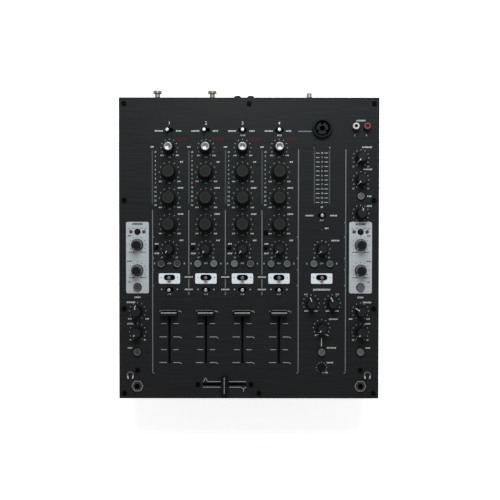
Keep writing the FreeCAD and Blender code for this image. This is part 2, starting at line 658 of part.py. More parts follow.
def mains_inlet():
    """Moulded module in the rear wall: a three-blade inlet and the well of the power rocker."""
    module = body("inlet_form")
    face = sketch_on(module)
    rectangle(face, "0", "0", "inlet_wide", "inlet_high")
    slab = pad(module, face, "inlet_rise")
    soften(module, slab, "panel_corner", upright)
    back = sketch_on(module)
    rectangle(back, "0", "0", "inlet_wide-2*inlet_lip", "inlet_high-2*inlet_lip")
    pad(module, back, "inlet_depth", down=True)
    socket = sketch_on(module, lift="inlet_rise")
    rectangle(socket, "socket_column-inlet_middle", "0", "socket_wide", "socket_high")
    pocket(module, socket, "socket_deep")
    well = sketch_on(module, lift="inlet_rise")
    room_wide, room_high = "rocker_wide+2*rocker_gap", "rocker_high+2*rocker_gap"
    rectangle(well, "rocker_column-inlet_middle", "0", room_wide, room_high)
    pocket(module, well, "rocker_deep+rocker_room")
    blades = sketch_on(module, lift="inlet_rise-socket_deep")
    for x, y in ((-1, 1), (0, -1), (1, 1)):
        column = f"socket_column-inlet_middle+{x}*blade_pitch"
        rectangle(blades, column, f"{y}*blade_offset", "blade_wide", "blade_high")
    module.Tip = pad(module, blades, "socket_deep-blade_short")
    place(module, "inlet_middle", f"{REAR_WALL}+sheet_thick", "inlet_level", REARWARD)
    single(module, "mains_inlet")

    rocker = body("rocker_form")
    side = sketch_on(rocker, "YZ_Plane")
    outline(side, [("-rocker_high/2", "-rocker_deep/2"), ("rocker_high/2", "-rocker_deep/2"),
                   ("rocker_high/2", "rocker_rise"), ("0", "rocker_rise-rocker_dip"),
                   ("-rocker_high/2", "rocker_rise")])
    block = pad(rocker, side, "rocker_wide")
    block.Midplane = True
    pivot = sketch_on(rocker, "YZ_Plane")
    circle(pivot, "0", "0", "pivot_width")
    rocker.Tip = pad(rocker, pivot, "rocker_wide+2*pivot_long")
    rocker.Tip.Midplane = True
    place(rocker, "rocker_column", f"{REAR_WALL}+sheet_thick+inlet_rise", "inlet_level",
          REARWARD * Rotation(Vector(1, 0, 0), SIZES["rocker_rest"]))
    single(rocker, "power_rocker")


def case_screws():
    screw = body("screw_form")
    turned = revolve(screw, [("0", "-screw_long"), ("screw_width/2", "-screw_long"), ("screw_width/2", "0"),
                             ("screw_head/2", "0"), ("screw_head/2", "screw_head_high"),
                             ("0", "screw_head_high")])
    soften(screw, turned, "screw_round", rim("screw_head_high", "screw_head"))
    key = sketch_on(screw, lift="screw_head_high")
    hexagon(key, "screw_socket")
    screw.Tip = pocket(screw, key, "screw_socket_deep")
    pieces = [copy(screw, x, y) for x, y in SCREWS + SPACERS + CROSS_SCREWS]
    pieces += [copy(screw, x, y, "foot_height", DOWNWARD) for x, y in COVER_SCREWS]
    pieces += at_rear(screw, REAR_SCREWS)
    node("case_screws", pieces)


def knob_form(name, base, top, high, skirt, flutes):
    """A tapered knob with a skirt, a hub bored for the shaft, fading flutes and a pointer groove."""
    form = body(name)
    turned = revolve(form, [
        ("shaft_width/2", "knob_gap"), (f"({base})/2", "knob_gap"), (f"({base})/2", f"knob_gap+{skirt}"),
        (f"({top})/2+knob_step", f"knob_gap+{skirt}+knob_shoulder"), (f"({top})/2", high), ("0", high),
        ("0", f"{high}-knob_roof"), ("shaft_width/2", f"{high}-knob_roof"),
    ])
    soften(form, turned, "knob_round", rim(high, top))
    ring = sketch_on(form, lift=f"knob_gap+{skirt}+knob_shoulder")
    circle(ring, "0", f"({top})/2+flute_width/2+knob_step-flute_bite", "flute_width")
    repeat(form, pocket(form, ring, up=True), ring, flutes, turn=360)
    mark = sketch_on(form, lift=high)
    rectangle(mark, "0", f"({top})/2-knob_round-pointer_long/2", "pointer_wide", "pointer_long")
    form.Tip = pocket(form, mark, "pointer_deep")
    return form


def gain_form():
    """A fluted black body under a bright round cap, dished inside its rim."""
    form = body("gain_knob_form")
    turned = revolve(form, [
        ("shaft_width/2", "knob_gap"), ("small_knob/2", "knob_gap"),
        ("small_knob/2-gain_draft", "gain_body_high"),
        ("gain_cap/2", "gain_body_high"), ("gain_cap/2", "gain_cap_high"),
        ("gain_cap/2-gain_rim", "gain_cap_high"),
        ("0", "gain_cap_high-gain_dish"), ("0", "gain_body_high-knob_roof"),
        ("shaft_width/2", "gain_body_high-knob_roof"),
    ])
    soften(form, turned, "knob_round", rim("gain_cap_high", "gain_cap"))
    ring = sketch_on(form, lift="knob_gap+small_skirt")
    circle(ring, "0", "small_knob/2+flute_width/2-flute_bite", "flute_width")
    repeat(form, pocket(form, ring, "gain_body_high-knob_gap-small_skirt", up=True), ring, 16, turn=360)
    mark = sketch_on(form, lift="gain_cap_high")
    rectangle(mark, "0", "gain_cap/2-knob_round-pointer_long/2", "pointer_wide", "pointer_long")
    form.Tip = pocket(form, mark, "pointer_deep")
    return form


def shaft_form(name, top):
    form = body(name)
    form.Tip = revolve(form, [("0", "-shaft_drop"), ("shaft_width/2", "-shaft_drop"),
                              ("shaft_width/2", top),
                              ("0", top)])
    return form


LEAST, MIDDLE = -142, 0


def knobs():
    """Every rotary control: where it stands and the angle its pointer rests at, clockwise from the rear."""
    wide = knob_form("wide_knob_form", "wide_knob", "wide_knob_top", "wide_knob_high", "wide_skirt", 20)
    small = knob_form(
        "small_knob_form", "small_knob", "small_knob_top", "small_knob_high", "small_skirt", 16
    )
    filtering = knob_form(
        "filter_knob_form", "filter_skirt", "filter_top", "small_knob_high", "filter_skirt_high", 16
    )
    gain = gain_form()
    shafts = {
        wide: shaft_form("wide_shaft_form", "wide_knob_high-knob_roof"),
        small: shaft_form("small_shaft_form", "small_knob_high-knob_roof"),
        gain: shaft_form("gain_shaft_form", "gain_body_high-knob_roof"),
    }
    shafts[filtering] = shafts[small]
    places = []
    for i, x in enumerate(CHANNELS, 1):
        places += [(f"gain_knob_{i}", gain, x, "gain_row", MIDDLE)]
        places += [(f"{band}_knob_{i}", wide, x, f"{band}_row", MIDDLE) for band in ("high", "mid", "low")]
        places += [(f"effect_knob_{i}", small, x, "effect_row", LEAST)]
    places += [("effect_return_knob", small, "master_column", "effect_row", LEAST)]
    places += [("master_knob", small, "side_column", "master_row", LEAST)]
    places += [("booth_knob", small, "side_column", "booth_row", LEAST)]
    places += [("balance_knob", small, "side_column", "balance_row", 14)]
    for side, x in SIDES.items():
        places += [(f"filter_knob_{side}", filtering, x, "filter_row", LEAST)]
        places += [(f"resonance_knob_{side}", filtering, x, "resonance_row", LEAST)]
        places += [(f"phones_source_knob_{side}", small, x, "source_row", -20 if side == "a" else -60)]
        places += [(f"phones_level_knob_{side}", small, x, "level_row", LEAST)]
    places += [("shape_knob_left", small, "master_column-shape_offset", "shape_row", -10)]
    places += [("shape_knob_right", small, "master_column+shape_offset", "shape_row", -14)]
    places += [("curve_knob", small, "master_column", "curve_row", LEAST)]
    for name, form, x, y, rest in places:
        node(name, [form, shafts[form]], x, y, turn=about_z(-rest))

    trim = body("trim_form")
    revolve(trim, [("0", "-shaft_drop"), ("shaft_width/2", "-shaft_drop"), ("shaft_width/2", "knob_gap"),
                   ("trim_head/2", "knob_gap"), ("trim_head/2", "trim_high"), ("0", "trim_high")])
    blade = sketch_on(trim, lift="trim_high")
    rectangle(blade, "0", "0", "trim_slot", "trim_head+1")
    trim.Tip = pocket(trim, blade, "trim_slot_deep")
    node("level_trim", [trim], "master_column", "trim_row")
    return [(x, y) for _, _, x, y, _ in places] + [("master_column", "trim_row")]


def track_form(name, travel):
    """The open-topped housing that a fader's stem runs in."""
    form = body(name)
    base = sketch_on(form, lift="-board_drop")
    rectangle(base, "0", "0", "track_wide", f"{travel}+2*track_overrun")
    pad(form, base, "board_drop-panel_thick")
    gap = sketch_on(form, lift="-panel_thick")
    rectangle(gap, "0", "0", "track_slot", f"{travel}+fader_stem_wide+track_slot_spare")
    form.Tip = pocket(form, gap, "board_drop-panel_thick-track_floor")
    return form


def potentiometers(places):
    pot = body("pot_form")
    case = sketch_on(pot, lift="-board_drop")
    rectangle(case, "0", "0", "pot_width", "pot_width")
    pad(pot, case, "board_drop-pot_top")
    for wide, low, high in (("bush_shoulder", "pot_top", "pot_top-panel_thick"),
                            ("bush_width", "panel_thick", "panel_thick+bush_rise")):
        neck = sketch_on(pot, lift=f"-{low}")
        circle(neck, "0", "0", wide)
        pad(pot, neck, high)
    bore = sketch_on(pot, lift="bush_rise")
    circle(bore, "0", "0", "shaft_width+2*shaft_fit")
    pot.Tip = pocket(pot, bore, "shaft_drop+bush_rise+bore_spare")
    pieces = [copy(pot, x, y) for x, y in places]
    track = track_form("fader_track_form", "fader_travel")
    pieces += [copy(track, x, "fader_row-fader_travel/2") for x in CHANNELS]
    cross = track_form("cross_track_form", "cross_travel")
    ears = sketch_on(cross, lift="-panel_thick-ear_thick")
    for end in (-1, 1):
        middle = f"{end}*(cross_travel/2+track_overrun+ear_long/2)"
        rectangle(ears, "0", middle, "track_wide", "ear_long")
        circle(ears, "0", f"{end}*cross_screw_offset", "screw_width")
    pad(cross, ears, "ear_thick")
    ends = sketch_on(cross, lift="-panel_thick")
    for end in (-1, 1):
        circle(ends, "0", f"{end}*cross_screw_offset", "screw_width")
    cross.Tip = pocket(cross, ends, "screw_long")
    pieces += [copy(cross, "cross_middle", "cross_row", turn=about_z(90))]
    node("potentiometers", pieces)


def fader_form(name, long, deep):
    """A tall cap, dished for the finger, on a flat steel stem."""
    form = body(name)
    base = sketch_on(form, lift="fader_cap_gap")
    rectangle(base, "0", "0", long, deep)
    block = pad(form, base, "fader_cap_high-fader_cap_gap")
    block.TaperAngle = -SIZES["fader_draft"]
    dish = sketch_on(form, "YZ_Plane")
    edge = f"({deep}/2-fader_lip)"
    outline(dish, [(f"-{edge}", "fader_cap_high+1"), (f"-{edge}", "fader_cap_high"),
                   ("-fader_flat/2", "fader_cap_high-fader_dip"),
                   ("fader_flat/2", "fader_cap_high-fader_dip"),
                   (edge, "fader_cap_high"), (edge, "fader_cap_high+1")])
    hollow = pocket(form, dish)
    hollow.Midplane = True
    stem = sketch_on(form, lift="-fader_stem_drop")
    rectangle(stem, "0", "0", "fader_stem_thick", "fader_stem_wide")
    form.Tip = pad(form, stem, "fader_stem_drop+fader_cap_gap+1")
    return form


def faders():
    channel = fader_form("fader_form", "fader_cap_wide", "fader_cap_deep")
    for i, x in enumerate(CHANNELS, 1):
        node(f"channel_fader_{i}", [channel], x, "fader_row")
    cross = fader_form("cross_form", "cross_cap_long", "fader_cap_deep")
    node("crossfader", [cross], "cross_middle", "cross_row", turn=about_z(90))


def button_form(name, wide, rise):
    form = body(name)
    turned = revolve(form, [("0", "-button_stem_drop"), ("button_stem/2", "-button_stem_drop"),
                            ("button_stem/2", "-button_drop"), (f"{wide}/2", "-button_drop"),
                            (f"{wide}/2", rise),
                            ("0", rise)])
    form.Tip = soften(form, turned, "knob_round", rim(rise, wide))
    return form


def lever_form(name, tip, waist, rise, drop):
    """A bat-shaped lever with a round tip."""
    form = body(name)
    turned = revolve(form, [("0", f"-{drop}"), (f"{waist}/2", f"-{drop}"), (f"{waist}/2", "0.5"),
                            (f"{tip}/2", f"{rise}-1.5"), (f"{tip}/2", rise), ("0", rise)])
    form.Tip = soften(form, turned, "lever_round", rim(rise, tip))
    return form


def buttons_and_levers():
    cap = button_form("button_form", "button_width", "button_rise")
    mode = button_form("mode_button_form", "mode_button", "mode_button_rise")
    pieces = [copy(cap, x, y) for x, y in BUTTONS] + [copy(mode, x, y) for x, y in MODE_BUTTONS]
    node("push_buttons", pieces)
    lever = lever_form("lever_form", "lever_tip", "lever_waist", "lever_rise", "lever_drop")
    pushed = [(f"{x}-lever_throw", y) for x, y in SLOT_LEVERS[-4:-2]]
    spots = PLATE_LEVERS + SLOT_LEVERS[:-4] + SLOT_LEVERS[-2:] + pushed
    node("selector_levers", [copy(lever, x, y) for x, y in spots])
    post = lever_form("post_lever_form", "post_tip", "post_waist", "post_rise", "lever_drop")
    node("pre_post_levers", [copy(post, x, f"{y}+post_throw") for x, y in POST_SWITCHES])


def switch_bodies():
    under = body("button_switch_form")
    base = sketch_on(under, lift="-board_drop")
    rectangle(base, "0", "0", "button_body", "button_body")
    pad(under, base, "board_drop-button_body_top")
    bore = sketch_on(under, lift="-button_body_top")
    circle(bore, "0", "0", "button_bore")
    under.Tip = pocket(under, bore, "button_stem_drop-button_body_top+button_travel+0.6")
    sliding = body("lever_switch_form")
    base = sketch_on(sliding, lift="-board_drop")
    rectangle(base, "0", "0", "switch_body_long", "switch_body_wide")
    pad(sliding, base, "board_drop-switch_body_top")
    gap = sketch_on(sliding, lift="-switch_body_top")
    rectangle(gap, "0", "0", "4*lever_throw+lever_waist", "lever_waist+lever_play")
    sliding.Tip = pocket(sliding, gap, "lever_drop-switch_body_top+2")
    crossing = body("post_switch_form")
    base = sketch_on(crossing, lift="-board_drop")
    rectangle(base, "0", "0", "post_body_wide", "post_body_long")
    pad(crossing, base, "board_drop-switch_body_top")
    gap = sketch_on(crossing, lift="-switch_body_top")
    rectangle(gap, "0", "0", "post_waist+lever_play", "2*post_throw+post_waist+lever_play")
    crossing.Tip = pocket(crossing, gap, "lever_drop-switch_body_top+2")
    pieces = [copy(under, x, y) for x, y in BUTTONS + MODE_BUTTONS]
    pieces += [copy(sliding, x, y) for x, y in PLATE_LEVERS + SLOT_LEVERS]
    pieces += [copy(crossing, x, y) for x, y in POST_SWITCHES]
    node("switch_bodies", pieces)


def led_meters():
    bar = body("meter_form")
    base = sketch_on(bar, lift="-board_drop")
    rectangle(base, "0", "0", "meter_width", "meter_top-meter_bottom")
    bar.Tip = pad(bar, base, "board_drop")
    columns = [f"{x}-meter_offset" for x in CHANNELS]
    columns += [f"master_column+{side}*stereo_meter_offset" for side in (-1, 1)]
    pieces = [copy(bar, x, "(meter_top+meter_bottom)/2") for x in columns]
    lamp = body("lamp_form")
    wide = "light_width/2"
    turned = revolve(lamp, [("0", "-board_drop"), (wide, "-board_drop"), (wide, "light_rise"),
                            ("0", "light_rise")])
    lamp.Tip = soften(lamp, turned, "light_round", rim("light_rise", "light_width"))
    for x in SIDES.values():
        pieces += [copy(lamp, f"{x}+{side}*mode_light_offset", "mode_row") for side in (-1, 1)]
    dot = body("dot_form")
    wide, top = "small_light/2", "small_light_rise"
    dot.Tip = revolve(dot, [("0", "-board_drop"), (wide, "-board_drop"), (wide, top), ("0", top)])
    pieces += [copy(dot, "master_column", "status_row")]
    node("led_meters", pieces)


def circuit_board():
    board = body("board_form")
    base = sketch_on(board, lift="-board_drop")
    rear, front = "panel_depth/2-board_inset", "phones_screw_row-board_edge"
    across = "panel_width-2*(flange_width+board_gap)"
    rectangle(base, "0", f"({rear}+{front})/2", across, f"{rear}-({front})")
    pad(board, base, "board_thick", down=True)
    holes = sketch_on(board, lift="-board_drop")
    circle(holes, "master_column", "combo_row", "combo_body+2*combo_room")
    for x in ("record_left", "record_right"):
        circle(holes, x, "record_row", "phono_flange")
    pocket(board, holes)
    posts = sketch_on(board, lift="-board_drop")
    for x, y in SPACERS:
        circle(posts, x, y, "screw_head+2*spacer_wall")
        circle(posts, x, y, "screw_width")
    board.Tip = pad(board, posts, "board_drop-panel_thick")
    place(board, "0", "0")
    single(board, "circuit_board")


def combo_socket():
    """A combined round socket: raised bezel, recessed face and a keyed well."""
    form = body("combo_form")
    turned = revolve(form, [
        ("0", "-combo_depth"), ("combo_body/2", "-combo_depth"), ("combo_body/2", "0"),
        ("combo_bezel/2", "0"),
        ("combo_bezel/2", "combo_rise"), ("combo_face/2", "combo_rise"),
        ("combo_face/2", "combo_rise-combo_recess"),
        ("0", "combo_rise-combo_recess"),
    ])
    soften(form, turned, "combo_round", rim("combo_rise", "combo_bezel"))
    well = sketch_on(form, lift="combo_rise-combo_recess")
    circle(well, "0", "0", "combo_key")
    pocket(form, well, "combo_depth-combo_floor")
    keys = sketch_on(form, lift="combo_rise-combo_recess")
    for i in range(3):
        angle = math.radians(90 + 120 * i)
        x, y = math.cos(angle), math.sin(angle)
        circle(keys, f"{x:.4f}*combo_pin_ring", f"{y:.4f}*combo_pin_ring", "combo_pin_hole")
    form.Tip = pocket(form, keys, "combo_pin_deep")
    place(form, "master_column", "combo_row")
    single(form, "combo_socket")


def front_sockets():
    jack = body("phones_form")
    revolve(jack, [
        ("phones_bore/2", "-phones_depth-phones_tail"), ("phones_body/2", "-phones_depth-phones_tail"),
        ("phones_body/2", "-panel_thick"), ("phones_bush/2", "-panel_thick"), ("phones_bush/2", "0"),
        ("phones_washer/2", "0"), ("phones_washer/2", "phones_washer_thick"),
        ("phones_bush/2", "phones_washer_thick"), ("phones_bush/2", "phones_nut_high+phones_lip"),
        ("phones_bore/2", "phones_nut_high+phones_lip"),
    ])
    nut = sketch_on(jack, lift="phones_washer_thick")
    hexagon(nut, "phones_nut")
    circle(nut, "0", "0", "phones_bore")
    jack.Tip = pad(jack, nut, "phones_nut_high-phones_washer_thick")
    node("headphone_jacks", [copy(jack, x, "phones_row") for x in SIDES.values()])
    form = phono_socket("record_form", "phono_rise")
    node("phono_jacks", [copy(form, x, "record_row") for x in ("record_left", "record_right")])


face_panel()
chassis_frame()
bottom_cover()
rear_panel()
rubber_feet()
rear_connectors()
mains_inlet()
case_screws()
potentiometers(knobs())
faders()
buttons_and_levers()
switch_bodies()
led_meters()
circuit_board()
combo_socket()
front_sockets()
doc.recompute()

for item in doc.Objects:
    if "Invalid" in item.State or "Error" in item.State:
        raise RuntimeError(f"{item.Label}: {item.State}")
os.makedirs("parts", exist_ok=True)
for item in nodes:
    if item.Shape.isNull() or not item.Shape.isValid():
        raise RuntimeError(f"{item.Label} has no valid shape")
    item.Shape.exportStep(f"parts/{item.Label}.step")
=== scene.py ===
import json
import math

import bpy
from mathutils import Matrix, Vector
from mathutils.geometry import tessellate_polygon


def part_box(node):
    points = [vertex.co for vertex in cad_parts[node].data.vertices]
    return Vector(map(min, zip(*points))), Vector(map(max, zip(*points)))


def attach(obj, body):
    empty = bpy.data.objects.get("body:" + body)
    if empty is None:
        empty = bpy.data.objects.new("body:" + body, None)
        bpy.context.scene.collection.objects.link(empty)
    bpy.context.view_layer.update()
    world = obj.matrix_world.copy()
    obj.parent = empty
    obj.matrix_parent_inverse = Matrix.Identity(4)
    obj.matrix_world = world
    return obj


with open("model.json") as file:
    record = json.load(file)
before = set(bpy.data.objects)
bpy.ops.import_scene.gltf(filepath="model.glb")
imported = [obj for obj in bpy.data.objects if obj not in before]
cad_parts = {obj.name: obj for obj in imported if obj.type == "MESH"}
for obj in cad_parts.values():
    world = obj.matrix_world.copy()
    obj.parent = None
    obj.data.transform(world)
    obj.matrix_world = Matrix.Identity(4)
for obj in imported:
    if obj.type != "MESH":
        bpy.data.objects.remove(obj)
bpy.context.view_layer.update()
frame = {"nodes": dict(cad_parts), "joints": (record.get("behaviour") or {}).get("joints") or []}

# Lengths in this script are millimetres on the panel, measured from the middle of its top face: X to the
# right, Y to the rear and Z up
MM = 0.001
PANEL_LOW, PANEL_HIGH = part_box("face_panel")
CENTRE = Vector(((PANEL_LOW.x + PANEL_HIGH.x) / 2, (PANEL_LOW.y + PANEL_HIGH.y) / 2, PANEL_HIGH.z))


def at(x, y, z=0.0):
    """The point in metres of a place on the panel."""
    return CENTRE + Vector((x, y, z)) * MM


def middle(node):
    """Where a node's middle is on the panel, and the height of its top."""
    low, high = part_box(node)
    spot = ((low + high) / 2 - CENTRE) / MM
    return spot.x, spot.y, (high.z - CENTRE.z) / MM


# Columns
CHANNELS = [middle(f"gain_knob_{i}")[0] for i in range(1, 5)]
MASTER = middle("curve_knob")[0]
SIDES = {"a": middle("filter_knob_a")[0], "b": middle("filter_knob_b")[0]}

# Rows, by what stands in them
INPUT_ROW = 144.9
BUTTON_ROW = -18.7
PLATE_ROW = -36.1
MODE_ROW = -50.8
LAMP_ROW = 20.5
FILTER_ROWS = (4.5, -27.1)
SIDE_BUTTON_ROWS = (-48.2, -128.2)
MONITOR_BUTTON_ROW = 64.7
REVERSE_BUTTON_ROW = -128.3
PHONES_ROW = middle("headphone_jacks")[1]
FADER_ROWS = [(-77.5, True), (-93.2, False), (-109.7, True), (-125.6, False), (-141.6, True)]  # True is long

# Heights over the panel
NUT_TOP = 2.6
GAIN_BODY_HIGH = 13.1
FILTER_SKIRT, FILTER_FOOT = 4.7, 3.95
TOP_EDGE = 0.6
TONE_TOP, KNOB_TOP = [middle(node)[2] - TOP_EDGE for node in ("high_knob_1", "master_knob")]

# How far painted lines and rims stand off what they lie on
PAINT, RIM = 0.04, 0.03

REAR_FACE = (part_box("rear_panel")[1].y - CENTRE.y) / MM


# Materials

def shader(name, colour, roughness, metallic=0.0, **sockets):
    """A new material with its shader's plain values set."""
    material = bpy.data.materials.new(name)
    material.use_nodes = True
    tree = material.node_tree
    main = tree.nodes["Principled BSDF"]
    main.inputs["Base Color"].default_value = (*colour, 1)
    main.inputs["Roughness"].default_value = roughness
    main.inputs["Metallic"].default_value = metallic
    for socket, value in sockets.items():
        main.inputs[socket.replace("_", " ")].default_value = value
    return material, tree, main


def place_of(tree):
    """A node with the place of a point in the object's own frame."""
    return tree.nodes.new("ShaderNodeTexCoord").outputs["Object"]


def noise(tree, scale, stretch=(1, 1, 1), detail=3.0):
    """A noise value over the object, drawn out along the axes with a small stretch."""
    mapping = tree.nodes.new("ShaderNodeMapping")
    mapping.inputs["Scale"].default_value = stretch
    tree.links.new(place_of(tree), mapping.inputs["Vector"])
    texture = tree.nodes.new("ShaderNodeTexNoise")
    texture.inputs["Scale"].default_value = scale
    texture.inputs["Detail"].default_value = detail
    tree.links.new(mapping.outputs["Vector"], texture.inputs["Vector"])
    return texture.outputs["Fac"]


def ramp(tree, value, stops, steps=False):
    """Colours along a value, smooth or in steps."""
    node = tree.nodes.new("ShaderNodeValToRGB")
    node.color_ramp.interpolation = "CONSTANT" if steps else "LINEAR"
    elements = node.color_ramp.elements
    while len(elements) < len(stops):
        elements.new(0.5)
    for element, (position, colour) in zip(elements, stops):
        element.position = position
        element.color = (*colour, 1)
    tree.links.new(value, node.inputs["Fac"])
    return node.outputs["Color"]


def wander(tree, value, dark, light):
    """A colour that wanders between two shades along a noise value."""
    return ramp(tree, value, [(0.3, dark), (0.7, light)])


def along(tree, axis, low, high):
    """How far a point is between two places on one axis of the panel, from 0 to 1."""
    index = "XYZ".index(axis)
    split = tree.nodes.new("ShaderNodeSeparateXYZ")
    tree.links.new(place_of(tree), split.inputs["Vector"])
    span = tree.nodes.new("ShaderNodeMapRange")
    span.inputs["From Min"].default_value = at(*low)[index]
    span.inputs["From Max"].default_value = at(*high)[index]
    tree.links.new(split.outputs[axis], span.inputs["Value"])
    return span.outputs["Result"]


def above(tree, height):
    """Zero under a height over the panel, and one over it."""
    blend = 0.01
    return along(tree, "Z", (0, 0, height - blend), (0, 0, height + blend))


def darkened(tree, colour, shade):
    """A colour multiplied by a shade."""
    node = tree.nodes.new("ShaderNodeMixRGB")
    node.blend_type = "MULTIPLY"
    node.inputs["Fac"].default_value = 1.0
    tree.links.new(colour, node.inputs["Color1"])
    tree.links.new(shade, node.inputs["Color2"])
    return node.outputs["Color"]


def grain(tree, main, value, strength, distance=0.0001):
    """A fine bump from a noise value, with its depth in metres."""
    bump = tree.nodes.new("ShaderNodeBump")
    bump.inputs["Strength"].default_value = strength
    bump.inputs["Distance"].default_value = distance
    tree.links.new(value, bump.inputs["Height"])
    tree.links.new(bump.outputs["Normal"], main.inputs["Normal"])


def grey(value, blue=1.0):
    """A grey that leans a little to blue."""
    return value, value * (1 + 0.05 * blue), value * (1 + 0.08 * blue)


def shaded(name, dark, light, roughness, scale=900, bump=0.15, stretch=(1, 1, 1), **more):
    """A material whose colour wanders between two shades, with a grain of some scale, bump and stretch."""
    material, tree, main = shader(name, dark, roughness, **more)
    value = noise(tree, scale, stretch)
    tree.links.new(wander(tree, value, dark, light), main.inputs["Base Color"])
    grain(tree, main, value, bump)
    return material


def matt(name, dark, light):
    """A matt print or paint."""
    return shaded(name, dark, light, 0.6, 1500, 0.05, Specular_IOR_Level=0.1)


def panel_metal():
    """Black anodised plate brushed from side to side."""
    material, tree, main = shader("panel_metal", grey(0.012), 0.42, 0.0, Specular_IOR_Level=0.06)
    streak = noise(tree, 1500, (0.012, 1, 1), 4)
    tree.links.new(wander(tree, streak, grey(0.008), grey(0.0175)), main.inputs["Base Color"])
    grain(tree, main, streak, 0.12, 0.00005)
    return material


def two_tone(name, height, lower, upper, roughness, metallic=(0.0, 0.0), foot=None):
    """One finish under a height and another over it, both a little worn, and dark under a foot's height."""
    material, tree, main = shader(name, lower, roughness[0], Specular_IOR_Level=0.09)
    split = above(tree, height)
    wear_and_sheen = noise(tree, 1300)
    colour = ramp(tree, split, [(0, lower), (1, upper)])
    colour = darkened(tree, colour, wander(tree, wear_and_sheen, grey(0.75, 0), grey(1.0, 0)))
    if foot:
        colour = darkened(tree, colour, ramp(tree, above(tree, foot), [(0, grey(0.1, 0)), (1, grey(1.0, 0))]))
    tree.links.new(colour, main.inputs["Base Color"])
    for socket, (first, second) in (("Roughness", roughness), ("Metallic", metallic)):
        span = tree.nodes.new("ShaderNodeMapRange")
        span.inputs["To Min"].default_value = first
        span.inputs["To Max"].default_value = second
        tree.links.new(split, span.inputs["Value"])
        tree.links.new(span.outputs["Result"], main.inputs[socket])
    grain(tree, main, wear_and_sheen, 0.2)
    return material


def stepped(name, axis, stops, roughness, metallic=0.0, dark=None):
    """Colours in steps along an axis, each from its own place on.

    Where dark gives an axis and two places on it, the finish is black between them.
    """
    material, tree, main = shader(name, stops[0][1], roughness, metallic, Specular_IOR_Level=0.15)
    value = along(tree, axis, (-REACH, -REACH, 0), (REACH, REACH, 0))
    colour = ramp(tree, value, [((place + REACH) / (2 * REACH), c) for place, c in stops], steps=True)
    colour = darkened(tree, colour, wander(tree, noise(tree, 500), grey(0.75), grey(1.0)))
    if dark:
        plain = (1, 1, 1)
        band = ramp(tree, along(tree, *dark), [(0, plain), (0.001, BLACK), (0.999, plain)], steps=True)
        colour = darkened(tree, colour, band)
    tree.links.new(colour, main.inputs["Base Color"])
    return material


